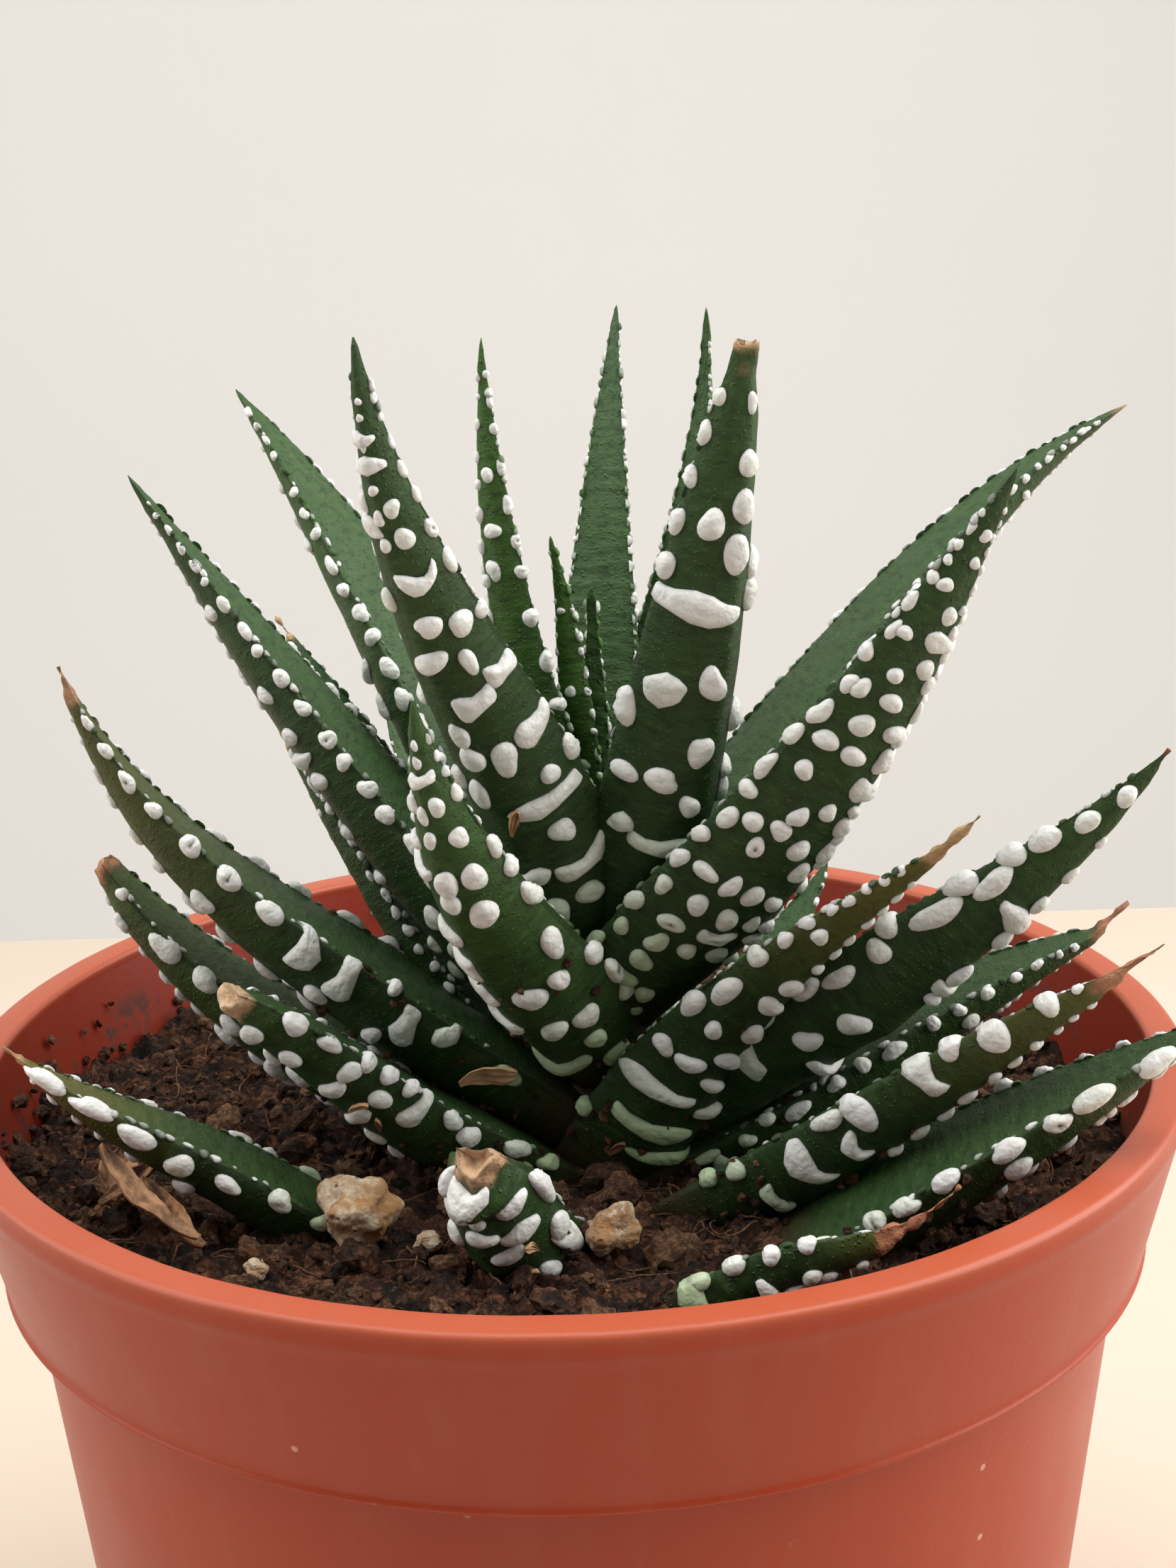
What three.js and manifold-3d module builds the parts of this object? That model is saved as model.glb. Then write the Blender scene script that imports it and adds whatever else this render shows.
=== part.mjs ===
// A small haworthia in a round plastic nursery pot.
// Units are millimetres, +Z is up, and the pot stands on z = 0 with its axis on the Z axis.
import * as THREE from "three";
import * as BufferGeometryUtils from "three/addons/utils/BufferGeometryUtils.js";
import Module from "manifold-3d";

const wasm = await Module();
wasm.setup();

// Pot
const POT_HEIGHT = 70;
const RIM_RADIUS = 45;
const MOUTH_RADIUS = 42.35;
const COLLAR_HEIGHT = 13.9;
const COLLAR_FOOT_RADIUS = 42.1;
const BODY_TOP_RADIUS = 40.5;
const BODY_FOOT_RADIUS = 34.7;
const WALL = 1.3;
const FLOOR = 2;
const FOOT_CHAMFER = 1;
const LIP_DEPTH = 1.6;
const LIP_STEP = 0.35;
const LIP_ROUND = 0.5;
const COLLAR_ROUND = 0.4;
const POT_SIDES = 60;
const DRAIN_HOLES = 6;
const DRAIN_RADIUS = 3;
const DRAIN_CIRCLE = 26;

// Soil
const SOIL_LEVEL = POT_HEIGHT - 7.2;
const SOIL_SIDES = 36;
const SOIL_RINGS = 9;
const SOIL_ROUGHNESS = 1.1;

// Plant
const PLANT_CENTRE = [2.5, -4];
const STEM_FOOT = POT_HEIGHT - 26;
const STEM_TOP = POT_HEIGHT + 12;
const STEM_FOOT_RADIUS = 4.4;
const STEM_TOP_RADIUS = 2.6;
const GAP = 0.3;
const LEAF_SIDES = 8;
const LEAF_STEPS = 12;
const THICKNESS_SHARE = 0.6;
const INNER_BULGE = 0.1;
const KEEL_SHARPNESS = 1.25;
const TAPER = 2.2;
const FOOT_SHARE = 0.82;
const SHOULDER = 0.22;
const MIDDLE_SHARE = 0.42;
const TIP_RADIUS = 0.35;

// Each leaf lies in an upright plane. Its azimuth is in degrees, counter-clockwise from +X.
// Its line runs from foot to tip as [distance out from its centre, height above the rim].
// taper is how late a leaf narrows: near 1 it narrows evenly all the way.
// blunt is the share of the full width left at a tip that has died back and broken off.
// roll turns the leaf about its own length, in degrees.
// The order is the order of trimming: a leaf is cut back where it would meet one listed before it.
const LEAVES = [
  { name: "leaf_01", azimuth: 236, width: 9.7, roll: 10, line: [[0.5, 3], [8.5, 21], [19, 37], [25, 53.5]] },
  { name: "leaf_17", azimuth: 308, width: 9.5, blunt: 0.2, line: [[2, 8], [8.5, 23], [13, 38], [16.5, 52]] },
  {
    name: "leaf_11",
    azimuth: 319,
    width: 13,
    taper: 0.95,
    line: [[1.5, -8], [9.4, 3.6], [18.5, 12.6], [31.5, 23]],
  },
  { name: "leaf_09", azimuth: 241, width: 10, line: [[1, 0], [10.5, 10], [19, 20], [23.5, 31.5]] },
  {
    name: "leaf_10",
    azimuth: 250,
    centre: [-2, -16],
    width: 8.8,
    blunt: 0.6,
    line: [[0, -10.5], [5, -6.6], [8.8, -2.6], [10.8, 2]],
  },
  {
    name: "leaf_23",
    azimuth: 327.5,
    centre: [2, -4.7],
    width: 12.3,
    line: [[1, 5], [13, 17.5], [23, 30.5], [31.5, 44.5]],
  },
  { name: "leaf_04", azimuth: 186, width: 10, line: [[3, -5], [16.5, 6], [29, 17], [37, 30.5]] },
  { name: "leaf_03", azimuth: 172, width: 9.5, line: [[2, 0], [13, 14.5], [23, 28.5], [32.5, 42.5]] },
  { name: "leaf_02", azimuth: 145, width: 10.5, line: [[2, 5], [12, 20], [21.5, 34], [32, 47]] },
  {
    name: "leaf_06",
    azimuth: 207,
    width: 8.5,
    blunt: 0.4,
    line: [[3, -8], [12.5, -3.5], [20.5, 3.5], [28, 10]],
  },
  { name: "leaf_12", azimuth: 336, width: 11, roll: -22, line: [[3, -4.5], [16.5, 5], [29, 15], [40, 26]] },
  { name: "leaf_13", azimuth: 356, width: 10, roll: 8, line: [[3, -10], [15, -3], [26, 4], [37.5, 10]] },
  {
    name: "leaf_14",
    azimuth: 335,
    centre: [8, -12],
    width: 8,
    roll: -15,
    line: [[0, -10], [11.5, -1.5], [22, 7], [32.5, 14.5]],
  },
  {
    name: "leaf_15",
    azimuth: 348,
    centre: [15, -18],
    width: 9,
    roll: 10,
    line: [[0, -10.5], [8, -4.5], [16.5, 1.5], [28, 9.5]],
  },
  { name: "leaf_24", azimuth: 15, width: 9.5, line: [[2, 9], [15, 22], [26.5, 35], [40, 45]] },
  { name: "leaf_20", azimuth: 203, width: 5, line: [[1, 16], [5, 28.5], [7, 40.5], [7.5, 52]] },
  {
    name: "leaf_18",
    azimuth: 45,
    width: 6.8,
    taper: 1.4,
    line: [[1, 14], [7, 27], [11.2, 40], [12.6, 52.5]],
  },
  { name: "leaf_19", azimuth: 81, width: 8, taper: 1.2, line: [[1.5, 14], [4.5, 28], [9, 41], [16, 52.5]] },
  { name: "leaf_21", azimuth: 205, width: 3.4, line: [[0.5, 18], [1.5, 25], [2, 32], [3, 38.5]] },
  { name: "leaf_22", azimuth: 90, width: 2.4, line: [[0, 16], [0.3, 22], [0.5, 28], [0.5, 34.5]] },
  {
    name: "leaf_05",
    azimuth: 176,
    width: 9,
    blunt: 0.35,
    line: [[4, -8.5], [16.5, -2.5], [27.5, 4.5], [36, 14]],
  },
  { name: "leaf_08", azimuth: 158, width: 8.5, line: [[3, -4], [12, 4.5], [19, 14], [25.5, 23]] },
  {
    name: "leaf_07",
    azimuth: 192,
    centre: [-16, -14],
    width: 7,
    line: [[0, -10], [7.5, -3.5], [15, 1.5], [22, 7.5]],
  },
  {
    name: "leaf_16",
    azimuth: 353,
    centre: [7, -28],
    width: 4.8,
    roll: -30,
    line: [[0, -9], [5.5, -5], [12, -3], [17.5, 0]],
  },
  { name: "leaf_25", azimuth: 160, width: 6, line: [[3, 2], [11, 12], [18, 21.5], [24.5, 31.5]] },
  { name: "leaf_26", azimuth: 165, width: 4, line: [[5, -9], [14, -2], [23, 5], [31, 14]] },
  { name: "leaf_27", azimuth: 122, width: 8, line: [[4, -7], [14, 1], [23, 9], [32, 19]] },
  { name: "leaf_28", azimuth: 80, width: 8, line: [[4, -6], [14, 2], [23, 10], [33, 20]] },
  { name: "leaf_29", azimuth: 45, width: 7.5, line: [[4, -8], [13, -3], [20, 2], [26, 8]] },
];

// Loose stones on the soil: [x, y], height of the middle above the soil, and the three half sizes.
const GRIT = [
  { name: "grit_1", at: [-14.3, -18.2], lift: 2, half: [3.2, 2.4, 2.8], turn: 25 },
  { name: "grit_2", at: [2.6, -21], lift: 1.6, half: [2.2, 1.6, 1.8], turn: -30 },
  { name: "grit_3", at: [-6.5, 3], lift: 1.3, half: [1.9, 1.3, 1.2], turn: 10 },
  { name: "grit_4", at: [-21, -23], lift: 0.5, half: [1, 0.8, 0.7], turn: 50 },
  { name: "grit_5", at: [-9.7, -20], lift: 0.5, half: [1.1, 0.9, 0.8], turn: 0 },
];
const STONE_ROUGHNESS = 0.14;

// Dried scraps: the middle of each, its length, width and curl, and how it is turned and tipped.
const LITTER = [
  { name: "litter_1", at: [-29.2, -21], lift: 4, length: 9.5, width: 2.8, curl: 110, turn: 162, tip: 42 },
  { name: "litter_2", at: [-31.5, -13.5], lift: 1.6, length: 7.5, width: 4, curl: 160, turn: 100, tip: 8 },
];
const LITTER_THICKNESS = 0.6;
const LITTER_TAPER = 0.75;
const LITTER_BEND = 0.8;

const COLOURS = {
  pot: "#a8513a",
  soil: "#3b2a20",
  stem: "#5b4a2c",
  leaf: "#2f5a31",
  grit: "#b89a72",
  litter: "#9a7048",
};

function material(colour, roughness) {
  return new THREE.MeshStandardMaterial({ color: colour, roughness, metalness: 0 });
}

// Turns a closed three.js geometry into a manifold solid.
function toSolid(geometry) {
  const plain = geometry.clone();
  plain.deleteAttribute("normal");
  plain.deleteAttribute("uv");
  const merged = BufferGeometryUtils.mergeVertices(plain, 1e-4);
  const mesh = new wasm.Mesh({
    numProp: 3,
    vertProperties: new Float32Array(merged.attributes.position.array),
    triVerts: new Uint32Array(merged.index.array),
  });
  return new wasm.Manifold(mesh);
}

// Turns the largest piece of a manifold solid back into a three.js geometry.
function toGeometry(solid) {
  const pieces = solid.decompose();
  pieces.sort((a, b) => b.volume() - a.volume());
  const mesh = pieces[0].getMesh();
  const geometry = new THREE.BufferGeometry();
  geometry.setAttribute("position", new THREE.BufferAttribute(new Float32Array(mesh.vertProperties), 3));
  geometry.setIndex(new THREE.BufferAttribute(new Uint32Array(mesh.triVerts), 1));
  geometry.computeVertexNormals();
  return geometry;
}

function makeMesh(name, geometry, colour, roughness) {
  const mesh = new THREE.Mesh(geometry, material(colour, roughness));
  mesh.name = name;
  return mesh;
}

// A smooth made-up unevenness between -1 and 1, the same every time.
function bumps(x, y, seed) {
  const broad = Math.sin(0.31 * x + 1.7 * seed) * Math.cos(0.27 * y - seed);
  const fine = Math.sin(0.83 * x - 0.52 * y + 2.3 * seed) * Math.cos(0.71 * y + 0.44 * x);
  return 0.6 * broad + 0.4 * fine;
}

function lathe(profile, sides) {
  const points = profile.map(([radius, height]) => new THREE.Vector2(radius, height));
  const geometry = new THREE.LatheGeometry(points, sides);
  geometry.rotateX(Math.PI / 2);
  return geometry;
}

function drainHole(index) {
  const angle = (2 * Math.PI * index) / DRAIN_HOLES;
  const geometry = new THREE.CylinderGeometry(DRAIN_RADIUS, DRAIN_RADIUS, 4 * FLOOR, 16);
  geometry.rotateX(Math.PI / 2);
  geometry.translate(DRAIN_CIRCLE * Math.cos(angle), DRAIN_CIRCLE * Math.sin(angle), FLOOR / 2);
  return toSolid(geometry);
}

// The inside of the wall: [radius, height] from the mouth down to the floor.
const COLLAR_FOOT = POT_HEIGHT - COLLAR_HEIGHT;
const INSIDE = [
  [MOUTH_RADIUS, POT_HEIGHT - LIP_ROUND],
  [COLLAR_FOOT_RADIUS - COLLAR_ROUND - WALL, COLLAR_FOOT + 2],
  [BODY_TOP_RADIUS - WALL, COLLAR_FOOT - 1.5],
  [BODY_FOOT_RADIUS - WALL, FLOOR],
];

function potMesh() {
  const profile = [
    [0, 0],
    [BODY_FOOT_RADIUS - FOOT_CHAMFER, 0],
    [BODY_FOOT_RADIUS, FOOT_CHAMFER],
    [BODY_TOP_RADIUS, COLLAR_FOOT - COLLAR_ROUND],
    [COLLAR_FOOT_RADIUS - COLLAR_ROUND, COLLAR_FOOT],
    [COLLAR_FOOT_RADIUS, COLLAR_FOOT + COLLAR_ROUND],
    [RIM_RADIUS - LIP_STEP, POT_HEIGHT - LIP_DEPTH - 2 * LIP_ROUND],
    [RIM_RADIUS, POT_HEIGHT - LIP_DEPTH],
    [RIM_RADIUS, POT_HEIGHT - LIP_ROUND],
    [RIM_RADIUS - LIP_ROUND, POT_HEIGHT],
    [MOUTH_RADIUS + LIP_ROUND, POT_HEIGHT],
    ...INSIDE,
    [0, FLOOR],
  ];
  let solid = toSolid(lathe(profile, POT_SIDES));
  for (let index = 0; index < DRAIN_HOLES; index += 1) {
    solid = solid.subtract(drainHole(index));
  }
  return makeMesh("pot", toGeometry(solid), COLOURS.pot, 0.45);
}

// The soil's top is uneven, so it is a lathed body whose upper rings are lifted and lowered.
function soilGeometry() {
  const [mouth, shoulder, waist, foot] = INSIDE;
  const slope = (mouth[0] - shoulder[0]) / (mouth[1] - shoulder[1]);
  const wallAt = mouth[0] - slope * (mouth[1] - SOIL_LEVEL) - 2 * GAP;
  const profile = [
    [0, FLOOR + GAP],
    [foot[0] - 2 * GAP, FLOOR + GAP],
    [waist[0] - 2 * GAP, waist[1]],
    [shoulder[0] - 2 * GAP, shoulder[1]],
    [wallAt, SOIL_LEVEL],
  ];
  for (let ring = SOIL_RINGS - 1; ring >= 0; ring -= 1) {
    profile.push([(wallAt * ring) / SOIL_RINGS, SOIL_LEVEL]);
  }
  const geometry = lathe(profile, SOIL_SIDES);
  const position = geometry.attributes.position;
  for (let i = 0; i < position.count; i += 1) {
    const x = position.getX(i);
    const y = position.getY(i);
    const z = position.getZ(i);
    if (z > SOIL_LEVEL - 0.01 && Math.hypot(x, y) < wallAt - 0.1) {
      position.setZ(i, z + SOIL_ROUGHNESS * bumps(x, y, 1));
    }
  }
  return geometry;
}

function stemSolid(grow) {
  const height = STEM_TOP - STEM_FOOT + 2 * grow;
  const top = STEM_TOP_RADIUS + grow;
  const foot = STEM_FOOT_RADIUS + grow;
  const geometry = new THREE.CylinderGeometry(top, foot, height, 16, 3);
  geometry.rotateX(Math.PI / 2);
  geometry.translate(PLANT_CENTRE[0], PLANT_CENTRE[1], (STEM_TOP + STEM_FOOT) / 2);
  return toSolid(geometry);
}

// The line up the middle of a leaf.
function leafPath(leaf) {
  const angle = THREE.MathUtils.degToRad(leaf.azimuth);
  const centre = leaf.centre ?? PLANT_CENTRE;
  const points = leaf.line.map(
    ([out, up]) =>
      new THREE.Vector3(
        centre[0] + out * Math.cos(angle),
        centre[1] + out * Math.sin(angle),
        POT_HEIGHT + up,
      ),
  );
  return new THREE.CatmullRomCurve3(points, false, "centripetal");
}

// The share of a leaf's full width that it has at a place between its foot, 0, and its tip, 1.
function widthShare(leaf, place) {
  const foot = FOOT_SHARE + (1 - FOOT_SHARE) * THREE.MathUtils.smoothstep(place, 0, SHOULDER);
  return foot * (1 - (1 - (leaf.blunt ?? 0)) * Math.pow(place, leaf.taper ?? TAPER));
}

// A leaf is a bent and tapered rod with a flat inner face and a keeled outer face.
function leafSolid(leaf, grow) {
  const path = leafPath(leaf);
  const angle = THREE.MathUtils.degToRad(leaf.azimuth);
  const roll = THREE.MathUtils.degToRad(leaf.roll ?? 0);
  const level = new THREE.Vector3(-Math.sin(angle), Math.cos(angle), 0);
  const geometry = new THREE.CylinderGeometry(1, 1, 1, LEAF_SIDES, LEAF_STEPS);
  const position = geometry.attributes.position;
  for (let i = 0; i < position.count; i += 1) {
    const across = position.getX(i);
    const outward = position.getZ(i);
    const place = position.getY(i) + 0.5;
    const tangent = path.getTangentAt(place);
    const side = level.clone().applyAxisAngle(tangent, roll);
    const outer = new THREE.Vector3().crossVectors(side, tangent).normalize();
    const width = Math.max(leaf.width * widthShare(leaf, place), 2 * TIP_RADIUS);
    const depth = THICKNESS_SHARE * width;
    const bulge = outward > 0 ? depth * Math.pow(outward, KEEL_SHARPNESS) : depth * INNER_BULGE * outward;
    const point = path.getPointAt(place);
    point.addScaledVector(side, across * (width / 2 + grow));
    point.addScaledVector(outer, bulge + 1.3 * grow * outward - depth * MIDDLE_SHARE);
    if (place < 0.001) {
      point.addScaledVector(tangent, -grow);
    }
    if (place > 0.999) {
      point.addScaledVector(tangent, grow);
    }
    position.setXYZ(i, point.x, point.y, point.z);
  }
  return toSolid(geometry);
}

function stoneSolid(stone, grow) {
  const geometry = new THREE.IcosahedronGeometry(1, 1);
  const position = geometry.attributes.position;
  const half = stone.half;
  for (let i = 0; i < position.count; i += 1) {
    const x = position.getX(i);
    const y = position.getY(i);
    const z = position.getZ(i);
    const size = 1 + STONE_ROUGHNESS * bumps(7 * x + 3 * z, 7 * y - 4 * z, half[0]);
    const reach = half.map((h) => size * h + grow);
    position.setXYZ(i, x * reach[0], y * reach[1], z * reach[2]);
  }
  geometry.rotateZ(THREE.MathUtils.degToRad(stone.turn));
  geometry.translate(stone.at[0], stone.at[1], SOIL_LEVEL + stone.lift);
  return toSolid(geometry);
}

// A dried scrap is a thin pointed strip rolled partly round its own length.
function litterSolid(scrap, grow) {
  const thickness = LITTER_THICKNESS + 2 * grow;
  const length = scrap.length + 2 * grow;
  const width = scrap.width + 2 * grow;
  const geometry = new THREE.BoxGeometry(length, width, thickness, 8, 4, 1);
  const position = geometry.attributes.position;
  const curl = THREE.MathUtils.degToRad(scrap.curl);
  const radius = scrap.width / curl;
  for (let i = 0; i < position.count; i += 1) {
    const x = position.getX(i);
    const along = (2 * x) / scrap.length;
    const taper = 1 - LITTER_TAPER * along * along;
    const around = (position.getY(i) / radius) * taper;
    const ring = radius - position.getZ(i);
    const lift = radius - ring * Math.cos(around) + LITTER_BEND * along * along;
    position.setXYZ(i, x, ring * Math.sin(around), lift);
  }
  geometry.rotateY(-THREE.MathUtils.degToRad(scrap.tip));
  geometry.rotateZ(THREE.MathUtils.degToRad(scrap.turn));
  geometry.translate(scrap.at[0], scrap.at[1], SOIL_LEVEL + scrap.lift);
  return toSolid(geometry);
}

function assembly() {
  const group = new THREE.Group();
  group.name = "potted_haworthia";
  group.add(potMesh());

  let taken = stemSolid(GAP);
  group.add(makeMesh("stem", toGeometry(stemSolid(0)), COLOURS.stem, 0.8));

  for (const leaf of LEAVES) {
    const solid = leafSolid(leaf, 0).subtract(taken);
    group.add(makeMesh(leaf.name, toGeometry(solid), COLOURS.leaf, 0.5));
    taken = taken.add(leafSolid(leaf, GAP));
  }
  for (const stone of GRIT) {
    const solid = stoneSolid(stone, 0).subtract(taken);
    group.add(makeMesh(stone.name, toGeometry(solid), COLOURS.grit, 0.9));
    taken = taken.add(stoneSolid(stone, GAP));
  }
  for (const scrap of LITTER) {
    const solid = litterSolid(scrap, 0).subtract(taken);
    group.add(makeMesh(scrap.name, toGeometry(solid), COLOURS.litter, 0.85));
    taken = taken.add(litterSolid(scrap, GAP));
  }
  group.add(makeMesh("soil", toGeometry(toSolid(soilGeometry()).subtract(taken)), COLOURS.soil, 0.95));
  return group;
}

export default assembly();
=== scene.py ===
import math

import bpy
import numpy as np
from mathutils import Matrix, Vector, noise
from mathutils.bvhtree import BVHTree


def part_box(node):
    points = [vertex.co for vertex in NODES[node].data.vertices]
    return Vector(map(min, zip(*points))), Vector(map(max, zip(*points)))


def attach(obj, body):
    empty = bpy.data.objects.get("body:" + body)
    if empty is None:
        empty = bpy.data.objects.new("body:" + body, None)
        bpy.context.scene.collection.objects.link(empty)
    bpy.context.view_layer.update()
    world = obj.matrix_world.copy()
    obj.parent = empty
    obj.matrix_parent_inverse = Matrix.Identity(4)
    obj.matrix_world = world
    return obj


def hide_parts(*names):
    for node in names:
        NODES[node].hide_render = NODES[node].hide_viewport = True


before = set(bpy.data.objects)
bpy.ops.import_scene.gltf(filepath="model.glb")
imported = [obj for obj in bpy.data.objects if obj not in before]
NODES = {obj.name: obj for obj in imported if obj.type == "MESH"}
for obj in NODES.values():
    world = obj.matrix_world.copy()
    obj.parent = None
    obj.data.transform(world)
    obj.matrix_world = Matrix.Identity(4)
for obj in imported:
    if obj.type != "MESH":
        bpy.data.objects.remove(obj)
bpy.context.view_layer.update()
MM = 0.001

# How finely the leaves, the bumps on them, the pot and the soil are divided.
LEAF_ROWS = 96
LEAF_COLUMNS = 48
DOME_RINGS = np.array([0.22, 0.45, 0.65, 0.82, 0.94, 1.0])
DOME_SIDES = 20
POT_SIDES = 224
SOIL_CELLS = 300

# The places along a leaf, from foot 0 to tip 1, where its CAD solid is measured.
SECTIONS = np.linspace(0.04, 0.965, 20)
# The height near which every leaf starts.
LEAF_ROOT = 62 * MM
# The range of random turns and phases: a little over a whole turn.
TURN = 6.3

# The pot's floor, the ledge under its collar, and the ring of its drain holes.
FLOOR = 2 * MM
LEDGE = 56.7 * MM
HOLES = 6
HOLE_RING = (10 * MM, 31 * MM)

# How many crumbs cling to the wall above the soil, fibres lie on it, and crumbs lie on each low leaf.
WALL_CRUMBS = 90
FIBRES = 260
LEAF_CRUMBS = 46
LOW_LEAVES = (4, 5, 6, 9, 10, 11, 13, 14, 15)

# Where the table ends behind the pot, how far away the wall beyond it is, and how much the wall glows.
TABLE_EDGE = 0.222
WALL = 0.9
WALL_GLOW = 0.66

# How a leaf looks unless LEAF_LOOKS, by the number in its name, says otherwise.
# size and gap scale the white bumps and the room between them; fill is how many lie off the edge rows.
# bands is how often bumps run together into a bar, and pits how often a bump has a hole in it.
# fresh_green_and_inner_light is how much of the lighter inner-face green a leaf gets, lowered on the low
# leaves as painted shade, and wrinkles how rough.
# young is how light the green is, and olive how brown it turns towards the tip.
# dry is the place, from foot 0 to tip 1, where the tip has dried; rust, pale and burnt colour that part.
# cut is True where the end has broken off, and curl bends the dried tip sideways and up, in millimetres.
PLAIN_LEAF = dict(
    size=1.0, gap=1.0, fill=1.0, bands=0.2, pits=0.03, fresh_green_and_inner_light=1.0, wrinkles=0.5, young=0.0, olive=0.0,
    dry=1.0, rust=0.0, pale=0.0, burnt=0.0, cut=False, curl=(0.0, 0.0),
)
LEAF_LOOKS = {
    1: dict(size=1.05, bands=0.4),
    2: dict(size=0.95, fill=0.5, young=0.3),
    3: dict(size=0.95, fill=0.5, bands=0.25),
    4: dict(
        size=1.25, gap=1.4, fill=0.35, pits=0.6, fresh_green_and_inner_light=0.45, olive=0.5, dry=0.955, rust=0.5, pale=0.3,
    ),
    5: dict(
        size=1.1, gap=1.3, fill=0.35, fresh_green_and_inner_light=0.4, olive=0.2, dry=0.985, rust=0.5, burnt=0.8, cut=True,
    ),
    6: dict(fill=0.5, fresh_green_and_inner_light=0.35, dry=0.965, pale=0.8, cut=True),
    7: dict(
        size=1.15, gap=1.5, fill=0.2, bands=0.3, fresh_green_and_inner_light=0.35, olive=0.9, dry=0.93, rust=0.1, burnt=0.3,
    ),
    8: dict(size=0.65, fill=0.3, wrinkles=0.8, dry=0.95, pale=0.6),
    9: dict(size=1.15, gap=0.7, bands=0.3, young=0.2),
    10: dict(gap=0.8, fill=0.6, dry=0.95, rust=0.35, pale=0.5, cut=True),
    11: dict(
        size=1.1, gap=0.8, fill=0.25, fresh_green_and_inner_light=0.2, olive=0.9, dry=0.9, pale=0.2, curl=(-0.6, 0.6),
    ),
    12: dict(size=1.15, gap=1.3, fill=0.4, bands=0.35, dry=0.975, rust=1.0),
    13: dict(
        size=0.9, gap=1.1, fill=0.5, fresh_green_and_inner_light=0.5, dry=0.93, rust=0.9, pale=0.2, curl=(0.8, 1.2),
    ),
    14: dict(
        size=1.1, fill=0.45, bands=0.3, fresh_green_and_inner_light=0.3, olive=0.6, dry=0.89, rust=0.8, pale=0.2,
        curl=(0.2, 0.8),
    ),
    15: dict(size=1.25, gap=1.3, fill=0.3, bands=0.4, pits=0.5, fresh_green_and_inner_light=0.35, wrinkles=0.6),
    16: dict(size=1.3, olive=0.7, dry=0.72, rust=0.7, curl=(0.5, 0.9)),
    17: dict(size=1.25, gap=1.1, fill=0.55, bands=0.3, dry=0.985, pale=0.3, cut=True),
    18: dict(size=0.8, fill=0.4, young=0.7),
    19: dict(size=0.55, fill=0.3, wrinkles=1.0, young=0.4),
    20: dict(size=1.15, gap=2.0, fill=0.5, bands=0.0, young=0.6),
    21: dict(size=0.75, gap=1.6, fill=0.3, bands=0.0, young=0.8),
    22: dict(size=0.6, gap=1.3, fill=0.2, bands=0.0, young=0.7),
    23: dict(size=0.88, gap=0.75, bands=0.04),
    24: dict(size=0.8, fill=0.6, wrinkles=0.7, dry=0.985, pale=0.2),
    25: dict(size=0.7, fill=0.3, dry=0.93, pale=0.5),
    26: dict(size=0.6, dry=0.0, rust=0.2),
}

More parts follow.
